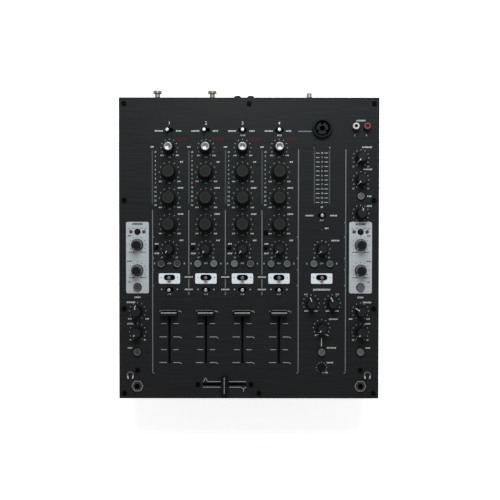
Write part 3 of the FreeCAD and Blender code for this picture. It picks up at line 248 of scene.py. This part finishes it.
REACH = 190.0  # past the panel's edges
BLACK = grey(0.012)
BRASS, NICKEL = (0.2, 0.18, 0.14), (0.24, 0.23, 0.2)
SOCKET_WHITE, SOCKET_RED = (0.6, 0.57, 0.56), (0.2, 0.062, 0.056)
# Greys of the buttons column by column: partly the buttons' own colours, partly painted highlight and shade
BUTTON_SHADES = [(-REACH, 0.04), (-120, 0.03), (-75, 0.12), (-10, 0.045), (15, 0.08), (65, 0.09), (85, 0.085),
                 (95, 0.06), (120, 0.1)]
# Greys of the same chrome levers row by row: darker on the plate row and brightest on the input row, as
# painted shade and painted reflection
LEVER_PAINTED_SHADING = [(-REACH, 0.3), (-44, 0.13), (0, 0.3), (100, 0.5)]
REAR_STEPS = [(-REACH, BLACK), (-121, BRASS), (-108, BLACK), (-53, BRASS), (-39, BLACK), (69, NICKEL),
              (81, BLACK)]
LOOKS = {
    "panel": panel_metal(),
    "case": shaded("case_paint", grey(0.012), grey(0.018), 0.45, 1500, 0.25, Specular_IOR_Level=0.12),
    # Rubber and plastic knobs are darker up their sides than on their tops: painted shade on the sides
    "rubber": two_tone("knob_rubber_painted_shade_sides", TONE_TOP, grey(0.004), (0.0145, 0.0145, 0.0132), (0.7, 0.62)),
    "knob": two_tone("knob_plastic_painted_shade_sides", KNOB_TOP, grey(0.004), grey(0.0125), (0.5, 0.45)),
    "black": shaded("black_plastic", grey(0.005), grey(0.009), 0.42, 1200, 0.12, Specular_IOR_Level=0.04),
    # Headphone jack nickel near black: a painted dark reflection
    "jack": shaded("nickel_painted_dark_reflection", (0.025, 0.024, 0.022), (0.04, 0.039, 0.036), 0.3, 900, 0.05, Metallic=1.0),
    # Bright nickel for painted highlights on the gain cap rims and the headphone nut edges
    "glint": shaded("painted_glint_nickel", (0.28, 0.28, 0.27), (0.42, 0.42, 0.4), 0.25, 900, 0.05, Metallic=1.0),
    # A lighter rubber for a painted highlight round each tone knob's dished top
    "wear_and_sheen": shaded("painted_dish_highlight_rubber", grey(0.022, 0), grey(0.03, 0), 0.6, 900, 0.1, Specular_IOR_Level=0.09),
    # A pale grey for painted highlights on the button bevels
    "rim": shaded("painted_button_bevel_highlight", grey(0.14), grey(0.17), 0.35, 900, 0.05, Specular_IOR_Level=0.15),
    "screw": shaded("black_steel", grey(0.001), grey(0.003), 0.4, 1500, 0.1, Specular_IOR_Level=0.02),
    "socket": shaded("socket_black", grey(0.006), grey(0.009), 0.35, 1500, 0.1, Specular_IOR_Level=0.06),
    # Near black with no gloss: a painted shadow in the combined socket's groove
    "groove_shadow": shaded("painted_groove_shadow", grey(0.0005), grey(0.001), 0.8, 1500, 0.05, Specular_IOR_Level=0.0),
    "track": shaded("dark_tracks", grey(0.006), grey(0.01), 0.5, 900, 0.1, Specular_IOR_Level=0.05),
    # Levers: one chrome, darker and lighter by row as painted shade and painted reflection
    "chrome": stepped("lever_chrome_painted_shading", "Y", [(y, grey(v, 0.3)) for y, v in LEVER_PAINTED_SHADING], 0.25, 1.0),
    "board": shaded("board_green", (0.01, 0.05, 0.02), (0.015, 0.07, 0.03), 0.5, 400, 0.1),
    "meter": shaded("meter_window", grey(0.045), grey(0.065), 0.25, 600, 0.03, Specular_IOR_Level=0.15),
    "print": matt("white_print", grey(0.5, 0.3), grey(0.62, 0.3)),
    "mark": matt("pale_print", grey(0.28, 0.3), grey(0.36, 0.3)),
    "faint": matt("grey_print", grey(0.15, 0.3), grey(0.2, 0.3)),
    "red": matt("red_print", (0.045, 0.006, 0.008), (0.06, 0.008, 0.01)),
    "maroon": matt("maroon_paint", (0.04, 0.006, 0.007), (0.06, 0.008, 0.009)),
    "ink": matt("dark_print", grey(0.008), grey(0.014)),
    "plate": shaded("silver_plate", grey(0.33), grey(0.4), 0.42, 500, 0.1, (0.05, 1, 1), Metallic=0.2),
    "bright": shaded("bright_plate", grey(0.6), grey(0.68), 0.42, 500, 0.05, (0.05, 1, 1), Metallic=0.1),
    "gain": two_tone("gain_finish", GAIN_BODY_HIGH, grey(0.005), grey(0.17), (0.5, 0.3), (0.0, 1.0)),
    "filter": two_tone("filter_finish", FILTER_SKIRT, grey(0.125), grey(0.005), (0.4, 0.5), foot=FILTER_FOOT),
    # Black under 4 mm: the sockets' own black flanges, and painted shade down inside their bores
    "phono": stepped("phono_colours_and_painted_bore_shade", "X", [(-REACH, SOCKET_WHITE), (138, SOCKET_RED)], 0.3, 0.0,
                     ("Z", (0, 0, -30), (0, 0, 4))),
    # Buttons: greys by column, partly their own colour and partly painted highlight and shade; the mode
    # buttons black
    "button": stepped("button_greys_and_painted_sheen", "X", [(x, grey(v)) for x, v in BUTTON_SHADES], 0.3, 0.0,
                      ("Y", (0, 15, 0), (0, 26, 0))),
    "rear": stepped("rear_finish", "X", REAR_STEPS, 0.35, 0.6),
}
NODE_LOOKS = {
    "face_panel": "panel", "case_screws": "screw", "circuit_board": "board", "potentiometers": "track",
    "led_meters": "meter", "headphone_jacks": "jack", "phono_jacks": "phono", "rear_connectors": "rear",
    "push_buttons": "button", "selector_levers": "chrome", "pre_post_levers": "knob", "rubber_feet": "rubber",
    "combo_socket": "socket", "chassis_frame": "case", "bottom_cover": "case", "rear_panel": "case",
    "level_trim": "black",
}
KNOB_LOOKS = {"gain": "gain", "high": "rubber", "mid": "rubber", "low": "rubber", "filter": "filter",
              "resonance": "filter"}


def look_of(node):
    """The name of the finish that a CAD node takes."""
    if node in NODE_LOOKS:
        return NODE_LOOKS[node]
    return KNOB_LOOKS.get(node.split("_")[0], "knob" if "knob" in node else "black")


for name, item in frame["nodes"].items():
    item.data.materials.clear()
    item.data.materials.append(LOOKS[look_of(name)])


# Print on the panel and on the rear plate

TICKS, TRAVEL = 11, 300  # ticks round a knob, and the degrees that they cover
LETTER_SHARE = 0.7  # a figure's height as a share of its font's size


def rounded(x, y, long, wide, corner):
    """The outline of a rectangle with round corners, which is a circle or a slot where the corners meet."""
    spots = []
    for i, (a, b) in enumerate(((1, 1), (-1, 1), (-1, -1), (1, -1))):
        for step in range(7):
            turn = math.radians(90 * i + 15 * step)
            spots.append((x + a * (long / 2 - corner) + corner * math.cos(turn),
                          y + b * (wide / 2 - corner) + corner * math.sin(turn)))
    return spots


def circle(x, y, wide, corner):
    """The outline of a circle, from round corners that almost meet."""
    return rounded(x, y, wide, wide, corner)


class Print:
    """Flat shapes gathered into one mesh, lifted off the panel by a little."""

    def __init__(self, lift=0.06):
        self.points = []
        self.faces = []
        self.lift = lift

    def spot(self, x, y):
        """The point in metres of a place on the print."""
        return at(x, y, self.lift)

    def shape(self, corners, holes=()):
        """A flat shape, with any holes cut out of it."""
        first = len(self.points)
        rings = [[self.spot(x, y) for x, y in ring] for ring in (corners, *holes)]
        self.points += [spot for ring in rings for spot in ring]
        if holes:
            self.faces += [[first + i for i in face] for face in tessellate_polygon(rings)]
        else:
            self.faces.append(range(first, len(self.points)))

    def bar(self, x, y, long, wide, turn=0.0):
        """A bar round its middle, lying along X and turned counter-clockwise by degrees."""
        c, s = math.cos(math.radians(turn)), math.sin(math.radians(turn))
        corners = [(-long / 2, -wide / 2), (long / 2, -wide / 2), (long / 2, wide / 2), (-long / 2, wide / 2)]
        self.shape([(x + a * c - b * s, y + a * s + b * c) for a, b in corners])

    def line(self, spots, wide):
        """Bars from place to place, which lap over where they meet."""
        lap = 0.6 * wide
        for (x0, y0), (x1, y1) in zip(spots, spots[1:]):
            length = math.hypot(x1 - x0, y1 - y0) + lap
            turn = math.degrees(math.atan2(y1 - y0, x1 - x0))
            self.bar((x0 + x1) / 2, (y0 + y1) / 2, length, wide, turn)

    def disc(self, x, y, radius):
        """A filled circle."""
        self.shape(circle(x, y, 2 * radius, 0.98 * radius))

    def row(self, x, y, long, high=1.8, pitch=1.6, fill=0.56):
        """A row of small slanting blocks, where a label would be."""
        count = max(1, round(long / pitch))
        step = long / count
        start = 0.16 * step
        lean = 0.12 * high
        for i in range(count):
            left = x - long / 2 + i * step + start
            right = left + fill * step
            low, top = y - high / 2, y + high / 2
            self.shape([(left - lean, low), (right - lean, low), (right + lean, top), (left + lean, top)])

    def rows(self, x, places, out=1):
        """Rows of blocks beside a column, each from its distance across, its row and its size.

        They are mirrored where out is -1.
        """
        for across, y, *size in places:
            self.row(x + out * across, y, *size)

    def ticks(self, x, y, radius=10.1, long=1.1, wide=0.9):
        """Ticks round a knob."""
        for i in range(TICKS):
            angle = 90 + TRAVEL / 2 - i * TRAVEL / (TICKS - 1)
            a = math.radians(angle)
            self.bar(x + radius * math.cos(a), y + radius * math.sin(a), long, wide, angle)

    def text(self, x, y, words, high):
        """Plain figures or letters, centred."""
        curve = bpy.data.curves.new("figures", "FONT")
        curve.body = words
        curve.size = high / LETTER_SHARE
        curve.align_x = "CENTER"
        curve.align_y = "CENTER"
        curve.resolution_u = 2
        item = bpy.data.objects.new("figures", curve)
        bpy.context.scene.collection.objects.link(item)
        bpy.context.view_layer.update()
        mesh = item.evaluated_get(bpy.context.evaluated_depsgraph_get()).to_mesh()
        first = len(self.points)
        self.points += [self.spot(x + v.co.x, y + v.co.y) for v in mesh.vertices]
        self.faces += [[first + i for i in face.vertices] for face in mesh.polygons]
        bpy.data.objects.remove(item)
        bpy.data.curves.remove(curve)

    def piece(self, name, look, body="case"):
        """The mesh as a piece of the scene, which goes along with a body."""
        mesh = bpy.data.meshes.new(name)
        mesh.from_pydata([tuple(p) for p in self.points], [], [tuple(f) for f in self.faces])
        mesh.materials.append(LOOKS[look])
        item = bpy.data.objects.new(name, mesh)
        bpy.context.scene.collection.objects.link(item)
        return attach(item, body)


class RearPrint(Print):
    """Flat shapes on the rear plate, seen from behind: X to the right and Y up from the panel's top."""

    def spot(self, x, y):
        return at(-x, REAR_FACE + self.lift, y)


white, pale, faint, red = Print(), Print(), Print(), Print()
silver, bright = Print(0.03), Print(0.03)
ink = Print(0.08)  # over the silver and bright plates
SCALE = ["10", "7", "4", "2", "0", "2", "4", "7", "10", "15", "20", "25", "30"]
BOTH = (-1, 1)

# Labels: how far across from their column, the row, and the size where it isn't the usual one
CHANNEL_LABELS = [(-12.9, INPUT_ROW, 10.3), (11.7, INPUT_ROW, 6.8), (-21, 125.2, 4.5), (-15.5, 5.6, 5),
                  (-15.5, -6.2, 6), (0, -56.7, 4.8)]
MASTER_LABELS = [(0, 51.2, 3.0), (-15.2, 40.7, 10.2), (14.6, 40.7, 8.7), (0, 34.9, 4.6), (6, 25, 4.8),
                 (16.8, 9.8, 10.4), (0, -51, 21.6, 2.3), (12.4, -123.2, 11.7)]
SIDE_LABELS = [(0, -60.6, 7.6, 1.9), (8.2, -66.8, 10.8, 1.9), (9, -93.4, 7.4), (-12, -87.3, 4.6),
               (9.5, -87.3, 4.6), (9.4, -123.4, 6)]
FILTER_LABELS = [(10, 15.6, 4.4, 1.7, 1.5, 0.7), (10, -16, 6, 1.7, 1.5, 0.7), (10, -41.6, 2.8, 1.7, 1.5, 0.7)]
RIGHT_LABELS = [(0, 157.8, 11.7), (10.7, 64.6, 5.5), (10.7, 52.6, 6.4)]
REAR_LABELS = [(6, -26.4, 16), (12, -37, 15), (-40, -25, 15), (-75, -25.4, 9), (-132, -62.6, 9),
               (-100, -62.6, 22)]


def tone_print(x, y, radius, left, right, drop):
    """Ticks of a gain or tone knob, labels at the ends of its travel and a mark between them."""
    pale.ticks(x, y, radius)
    white.rows(x, [(-left, y - drop, 4.2, 1.5), (right, y - drop, 4.2, 1.5)])
    faint.bar(x, y - drop - 2.1, 3.6, 1.6)


def small_print(x, y):
    """Ticks round a small knob, and dots at the ends of its travel."""
    pale.ticks(x, y)
    pale.rows(x, [(-9.2, y - 10.6, 2.6), (9.2, y - 10.6, 3.0)])


def button_print(x):
    """Dots beside a pair of buttons and a mark between them."""
    for side in BOTH:
        pale.bar(x + side * 18.5, BUTTON_ROW, 1.2, 2)
    pale.row(x, BUTTON_ROW + 0.3, 4.6, 2)


def plate_print(x):
    """A bright plate round a lever switch, left open at the switch's slot."""
    bright.shape(rounded(x, PLATE_ROW - 1.2, 26.4, 12.8, 1.6), [rounded(x, PLATE_ROW, 14.2, 7.3, 3.64)])
    ink.bar(x, PLATE_ROW - 5.5, 4, 1.0)
    for side in BOTH:
        ink.bar(x + side * 10.2, PLATE_ROW, 1.0, 1.4)


def fader_print(x):
    """Lines beside a channel fader, the long ones bent at their right end."""
    wide = 0.8
    for y, long in FADER_ROWS:
        more = 1.8 if long else 0
        pale.line([(x - 10.2 - more, y), (x - 3.6, y)], wide)
        right = [(x + 5, y), (x + 11 + more, y)]
        pale.line(right + [(x + 14.8, y - 1.4)] if long else right, wide)


def channel_print(number, x):
    """Number, labels, ticks, level scale, plate and fader lines of a channel."""
    white.text(x, 154.4, str(number), 4.0)
    white.rows(x, CHANNEL_LABELS)
    if number > 2:
        white.row(x + 0.4, 139.6, 6, 2)
    red.row(x + 15, 134.8, 14, 3.8)
    tone_print(x, middle(f"gain_knob_{number}")[1], 10.3, 9, 10, 9.5)
    for band, across, long in (("high", 15.1, 4.0), ("mid", 13.9, 7.2), ("low", 13.9, 7.2)):
        y = middle(f"{band}_knob_{number}")[1]
        tone_print(x, y, 12.4, 10.9, 12, 11.5)
        white.row(x + across, y + 12.6, long)
    effect = middle(f"effect_knob_{number}")[1]
    small_print(x, effect)
    white.row(x + 15.1, effect + 10.7, 4.8)
    for i, figure in enumerate(SCALE):
        white.text(x - 17.2, 118.8 - 5.44 * i, figure, 2.1)
    button_print(x)
    plate_print(x)
    for side in BOTH:
        pale.disc(x + side * 9.8, MODE_ROW, 0.9)
    fader_print(x)


def separators():
    """Long lines between the columns, with small nubs beside the button rows."""
    wide = 1.0
    nub = 1.6, 1.8
    for x in (CHANNELS[1] - 21.2, CHANNELS[2] - 21.2, CHANNELS[3] - 21.1):
        for top, low in ((47, -32), (-38.4, -48.4), (-54, -57.6)):
            faint.line([(x, top), (x, low)], wide)
        white.rows(x, [(0, PLATE_ROW + 0.7, 10.4), (0, MODE_ROW, 10.4)])
    first = CHANNELS[0] - 20.8
    faint.line([(first, 47), (first, -154), (first + 1.6, -155)], wide)
    left = CHANNELS[3] + 23.9
    right = left + 58.5
    for x in (left, right):
        faint.line([(x, 122), (x, -153), (x - 1.6, -155)], wide)
    for y in (14.1, -12.2, -26.7, -45.9):
        for x in (first + 0.9, left - 0.9, right - 0.9):
            faint.bar(x, y, *nub)
    faint.bar(right - 0.9, 32, *nub)


def master_print():
    """Meter scale, labels, ticks and plate of the master column."""
    x = MASTER
    for side, letter in zip(BOTH, "LR"):
        pale.text(x + side * 9.6, 124.4, letter, 2.2)
    for i, figure in enumerate(SCALE[:12]):
        y = 117.8 - 5.53 * i
        white.text(x, y, figure, 2.1)
        for side in BOTH:
            pale.bar(x + side * 5.2, y, 4.2, 0.9)
    white.rows(x, MASTER_LABELS)
    small_print(x, middle("effect_return_knob")[1])
    button_print(x)
    plate_print(x)
    for side, name in zip(BOTH, ("shape_knob_left", "shape_knob_right")):
        knob_x, knob_y, _ = middle(name)
        pale.ticks(knob_x, knob_y)
        pale.row(knob_x + side * 6.4, knob_y + 10.8, 4.4)
        for end in BOTH:
            white.bar(knob_x + end * 5.7, knob_y - 9.9, 5, 1.1)
    curve = middle("curve_knob")[1]
    pale.ticks(x, curve)
    for end in BOTH:
        white.line([(x + end * 8, curve - 10), (x + end * 7, curve - 8.9), (x + end * 4, curve - 8.9)], 1.0)
    white.row(x + 14.6, curve + 10.5, 11)
    white.line([(x, -111), (x, -121)], 1.0)
    trim = middle("level_trim")[1]
    pale.ticks(x, trim, 6.4, 1.0, 0.8)
    white.rows(x, [(10.6, trim + 6, 8), (4.4, trim - 6.4, 8)])


def side_print(side, x):
    """Plate, ticks and labels of a side column, mirrored between the two sides."""
    out = 1 if side == "b" else -1
    places = [(row, 7.9) for row in (LAMP_ROW, *FILTER_ROWS)] + [(SIDE_BUTTON_ROWS[0], 10.8)]
    holes = [circle(x, row, wide, 0.49 * wide) for row, wide in places]
    silver.shape(rounded(x, -11.4, 28.2, 88.4, 2.2), holes)
    ink.row(x, 30.2, 13, 2.6, 1.9, 0.7)
    for end in BOTH:
        ink.shape(circle(x + end * 8, LAMP_ROW, 4.4, 2.16), [circle(x + end * 8, LAMP_ROW, 3.1, 1.52)])
        ink.line([(x + end * 8.8, 22.6), (x + end * 10.8, 25.2)], 0.6)
        ink.row(x + end * 5, 24.8, 3.6, 1.0)
    for row in FILTER_ROWS:
        ink.ticks(x, row, long=1.0)
        for end in BOTH:
            ink.bar(x + end * 6.8, row - 9.2, 7.6, 0.8)
    ink.rows(x, FILTER_LABELS, out)
    white.rows(x, SIDE_LABELS, out)
    for name in ("phones_source_knob", "phones_level_knob"):
        knob_x, knob_y, _ = middle(f"{name}_{side}")
        pale.ticks(knob_x, knob_y)
    for end in BOTH:
        pale.bar(x + end * 8.8, -113.4, 2.4, 1.6)
    headphones(x + out * 9.1, -158)


def headphones(x, y):
    """A plain headphone sign: an arch and two ear pads."""
    radius = 3.7
    turns = [math.radians(180 - 18 * i) for i in range(11)]
    pale.line([(x + radius * math.cos(a), y + 1 + radius * math.sin(a)) for a in turns], 0.7)
    for end in BOTH:
        white.bar(x + end * 3.1, y - 1.8, 1.3, 3.8, -end * 12)


def right_print():
    """What the right column alone has, for record sockets and master knobs, and the microphone's line."""
    x = SIDES["b"]
    white.rows(x, RIGHT_LABELS)
    for across, letter in ((-7.1, "L"), (6.9, "R")):
        white.text(x + across, 139.6, letter, 2.2)
    for name, across, rise, long in (("master_knob", 7.7, 13.2, 12.5), ("booth_knob", 8.6, 13.1, 11)):
        y = middle(name)[1]
        small_print(x, y)
        white.row(x + across, y + rise, long)
    small_print(x, middle("balance_knob")[1])
    faint.line([(61, 144.5), (76.7, 144.5)], 1.2)


def crossfader_print():
    """Lines along both sides of the crossfader's slot, with a peak at one end and a fork at the other."""
    x, y, _ = middle("crossfader")
    rear, front = y + 3.4, y - 3.6
    fork = front - 2.1
    for spots in (
        [(-26, rear), (-23.5, rear + 4.8), (-21, rear)],
        [(-21, rear), (-4.4, rear)],
        [(6.2, rear), (26.6, rear)],
        [(-26.6, front), (-4.4, front)],
        [(6.2, front), (21, front), (23.7, fork), (26.6, front)],
        [(23.7, fork), (23.6, fork - 3.1)],
    ):
        pale.line([(x + across, row) for across, row in spots], 0.8)


def rear_print():
    """Channel numbers, labels and ground signs beside the rear sockets."""
    rear = RearPrint()
    bracket = [(-10.6, 2.2), (-10.6, 0.6), (10.6, 0.6), (10.6, 2.2)]
    for first, x in ((3, 81.4), (1, 135.8)):
        for number, y in ((first, -26.4), (first + 1, -58.4)):
            rear.line([(x + across, y + up) for across, up in bracket], 0.5)
            rear.text(x - 8.2, y - 2.6, str(number), 3.2)
            rear.row(x + 2.4, y - 2.6, 14)
    for x in (46.2, 114.9):
        rear.line([(x, -24), (x, -26.6)], 0.6)
        for i in range(3):
            rear.bar(x, -26.6 - 1.2 * i, 5 - 1.7 * i, 0.6)
    rear.rows(0, REAR_LABELS)
    rear.piece("rear_marks", "mark")


for number, x in enumerate(CHANNELS, 1):
    channel_print(number, x)
separators()
master_print()
for side, x in SIDES.items():
    side_print(side, x)
right_print()
crossfader_print()
rear_print()
white.piece("white_marks", "print")
pale.piece("pale_marks", "mark")
faint.piece("grey_marks", "faint")
red.piece("red_marks", "red")
ink.piece("dark_marks", "ink")
silver.piece("side_plates", "plate")
bright.piece("lever_plates", "bright")


# Painted lines, rims and faces on the knobs, faders, buttons and sockets

def strip(node, look, profile, turn):
    """A thin painted line down a knob, through points of radius and height.

    It lies at an angle that is measured clockwise from the rear.
    """
    half = 0.5 * MM
    x, y, _ = middle(node)
    a = math.radians(90 - turn)
    out, side = Vector((math.cos(a), math.sin(a), 0)), Vector((-math.sin(a), math.cos(a), 0))
    paint = Print()
    for radius, height in profile:
        spot = at(x, y, height) + out * radius * MM
        paint.points += [spot - side * half, spot + side * half]
    paint.faces = [(i, i + 2, i + 3, i + 1) for i in range(0, len(paint.points) - 2, 2)]
    paint.piece(f"pointer_{node}", look, node)


def pointers():
    """The painted line of every knob, pointing as the knob rests."""
    for joint in frame["joints"]:
        node = joint["child"]
        if "knob" not in node:
            continue
        kind = node.split("_")[0]
        turn = sum(joint["range_deg"]) / 2
        top = middle(node)[2]
        if kind == "gain":
            strip(node, "maroon", [(5.4, 13.05), (6.45, 13.05), (7.05, 1.6)], turn)
        elif kind in ("high", "mid", "low"):
            strip(node, "maroon", [(6.7, top + PAINT), (7.56, top - 0.8), (7.96, 5.6), (9.8, 4.56)], turn)
        elif kind in ("filter", "resonance"):
            strip(node, "print", [(5.3, 4.6), (7.45, 3.56), (7.45, 1.2)], turn)
        else:
            strip(node, "print", [(3.0, top + PAINT), (4.9, top + PAINT), (5.76, top - 0.8), (6.16, 4.56),
                                  (7.05, 3.56), (7.05, 1.2)], turn)


def fader_lines():
    """The line across each fader cap, in the dip of its top, and a painted highlight along the rear lip of
    each channel cap.
    """
    dip = 1.55
    for node in [f"channel_fader_{i}" for i in range(1, 5)] + ["crossfader"]:
        x, y, top = middle(node)
        mark, lip_highlight = Print(top - dip), Print(top + PAINT)
        if node == "crossfader":
            mark.bar(x, y, 0.8, 20.0)
            mark.piece(f"line_{node}", "mark", node)
        else:
            mark.bar(x, y, 18.8, 0.8)
            mark.piece(f"line_{node}", "print", node)
            # A painted highlight along the cap's rear lip
            lip_highlight.bar(x, y + 3.5, 18.8, 0.6)
            lip_highlight.piece(f"lip_{node}", "faint", node)


def button_rims():
    """A painted highlight on the bevel of every large round button, widest at the front."""
    rims = Print(middle("push_buttons")[2] + RIM)
    spots = [(x + end * 9.9, BUTTON_ROW) for x in CHANNELS + [MASTER] for end in BOTH]
    spots += [(x, y) for x in SIDES.values() for y in SIDE_BUTTON_ROWS]
    spots += [(SIDES["b"], MONITOR_BUTTON_ROW), (MASTER, REVERSE_BUTTON_ROW)]
    for x, y in spots:
        rims.shape(circle(x, y, 8.3, 4.1), [circle(x + 0.1, y + 0.25, 7.3, 3.6)])
    rims.piece("button_rims", "rim", "push_buttons")


def cap_rims():
    """Painted highlights: a bright ring round the dish of every gain cap, and a lighter ring round the dished
    top of every tone knob.
    """
    for kind in ("gain", "high", "mid", "low"):
        # Both rings are painted highlights
        outer, inner, look = (8.9, 7.6, "glint") if kind == "gain" else (12, 10.8, "wear_and_sheen")
        for i in range(1, 5):
            node = f"{kind}_knob_{i}"
            x, y, top = middle(node)
            ring = Print(top + RIM)
            ring.shape(circle(x, y, outer, 0.49 * outer), [circle(x, y + 0.1, inner, 0.49 * inner)])
            ring.piece(f"rim_{node}", look, node)


def combo_face():
    """The face of the combined socket, open at its well and pin holes, and a painted shadow in the groove
    round it.
    """
    x, y, top = middle("combo_socket")
    face, groove = Print(top - 2.45), Print(top - 2.42)
    pin_ring = 6.2
    holes = [circle(x, y, 6.8, 3.35)]
    for a in (math.radians(90 + 120 * i) for i in range(3)):
        holes.append(circle(x + pin_ring * math.cos(a), y + pin_ring * math.sin(a), 3.2, 1.55))
    face.shape(circle(x, y, 16, 7.9), holes)
    face.piece("combo_face", "panel")
    # The groove's ring is painted shadow
    groove.shape(circle(x, y, 18.8, 9.3), [circle(x, y, 14.6, 7.2)])
    groove.piece("combo_groove_shadow", "groove_shadow")


def front_socket_edges():
    """Rings on the headphone jacks' lips, painted highlights along the edges of their nuts, and the red
    inside of one coaxial socket.
    """
    lips, nuts = Print(middle("headphone_jacks")[2] + RIM), Print(NUT_TOP + RIM)
    nut_radius = 6.9
    turns = [math.radians(60 * i) for i in range(7)]
    for x in SIDES.values():
        lips.shape(circle(x, PHONES_ROW, 8.2, 4.05), [circle(x, PHONES_ROW, 7.4, 3.65)])
        # Painted highlights along the nut's edges
        nuts.line([(x + nut_radius * math.cos(a), PHONES_ROW + nut_radius * math.sin(a)) for a in turns], 0.4)
    lips.piece("jack_lips", "jack")
    nuts.piece("nut_edge_glints", "glint")
    right = (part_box("phono_jacks")[1].x - CENTRE.x) / MM
    _, y, top = middle("phono_jacks")
    inside = Print(top - 1.5)
    inside.disc(right - 5.2, y, 2.2)
    inside.piece("red_socket", "maroon")


pointers()
fader_lines()
button_rims()
cap_rims()
combo_face()
front_socket_edges()


# Stage, light and camera

FLOOR_HALF = 3.0  # metres
FLOOR_GLOW = 0.79
LAMP_TINT = (0.92, 1.0, 1.03)
WHITE = (1, 1, 1, 1)


def backdrop_rays(tree):
    """One for the rays that show the backdrop as it is: to the camera, or by way of gloss and glass."""
    path = tree.nodes.new("ShaderNodeLightPath")
    total = path.outputs["Is Camera Ray"]
    for ray in ("Is Glossy Ray", "Is Transmission Ray"):
        both = tree.nodes.new("ShaderNodeMath")
        both.operation = "MAXIMUM"
        tree.links.new(total, both.inputs[0])
        tree.links.new(path.outputs[ray], both.inputs[1])
        total = both.outputs["Value"]
    return total


def floor():
    """A pale floor that shows white in the open and keeps the shadow of the case."""
    mesh = bpy.data.meshes.new("floor")
    corners = [(a * FLOOR_HALF, b * FLOOR_HALF, 0) for a, b in ((-1, -1), (1, -1), (1, 1), (-1, 1))]
    mesh.from_pydata(corners, [], [(0, 1, 2, 3)])
    item = bpy.data.objects.new("floor", mesh)
    bpy.context.scene.collection.objects.link(item)
    material, tree, main = shader("pale_floor", grey(0.8, 0), 0.9)
    tree.links.new(wander(tree, noise(tree, 2), grey(0.8, 0), grey(0.84, 0)), main.inputs["Base Color"])
    main.inputs["Emission Color"].default_value = WHITE
    glow = tree.nodes.new("ShaderNodeMapRange")
    glow.inputs["To Max"].default_value = FLOOR_GLOW
    tree.links.new(backdrop_rays(tree), glow.inputs["Value"])
    tree.links.new(glow.outputs["Result"], main.inputs["Emission Strength"])
    mesh.materials.append(material)


def area_light(name, place, target, size, power):
    """A round lamp turned to a target, with its size in metres and its power in watts."""
    data = bpy.data.lights.new(name, "AREA")
    data.shape = "DISK"
    data.size = size
    data.energy = power
    data.color = LAMP_TINT
    item = bpy.data.objects.new(name, data)
    item.location = place
    item.rotation_euler = (Vector(target) - Vector(place)).to_track_quat("-Z", "Y").to_euler()
    bpy.context.scene.collection.objects.link(item)


def surroundings():
    """A white backdrop, which lights the object as a room that is bright at the sides and dim overhead."""
    world = bpy.data.worlds.new("studio")
    bpy.context.scene.world = world
    world.use_nodes = True
    tree = world.node_tree
    tree.nodes.clear()
    split = tree.nodes.new("ShaderNodeSeparateXYZ")
    tree.links.new(tree.nodes.new("ShaderNodeTexCoord").outputs["Generated"], split.inputs["Vector"])
    room = tree.nodes.new("ShaderNodeBackground")
    heights = [(0.0, grey(0.9, 0)), (0.35, grey(0.6, 0)), (0.8, grey(0.12, 0))]
    tree.links.new(ramp(tree, split.outputs["Z"], heights), room.inputs["Color"])
    room.inputs["Strength"].default_value = 0.8
    plain = tree.nodes.new("ShaderNodeBackground")
    plain.inputs["Color"].default_value = WHITE
    mix = tree.nodes.new("ShaderNodeMixShader")
    tree.links.new(backdrop_rays(tree), mix.inputs["Fac"])
    tree.links.new(room.outputs["Background"], mix.inputs[1])
    tree.links.new(plain.outputs["Background"], mix.inputs[2])
    output = tree.nodes.new("ShaderNodeOutputWorld")
    tree.links.new(mix.outputs["Shader"], output.inputs["Surface"])


def camera():
    """Straight above the panel, leaning a little to the front, as solved from places on the panel."""
    data = bpy.data.cameras.new("camera")
    data.sensor_width = 36
    data.lens = 53.26
    item = bpy.data.objects.new("camera", data)
    item.location = at(1.2, 15.3, 915)
    item.rotation_euler = (math.radians(-1.079), 0, math.radians(0.053))
    bpy.context.scene.collection.objects.link(item)
    bpy.context.scene.camera = item


floor()
surroundings()
area_light("rear_softbox", at(20, 620, 720), at(0, 0), 0.6, 10.5)
camera()
scene = bpy.context.scene
scene.view_settings.view_transform = "Standard"
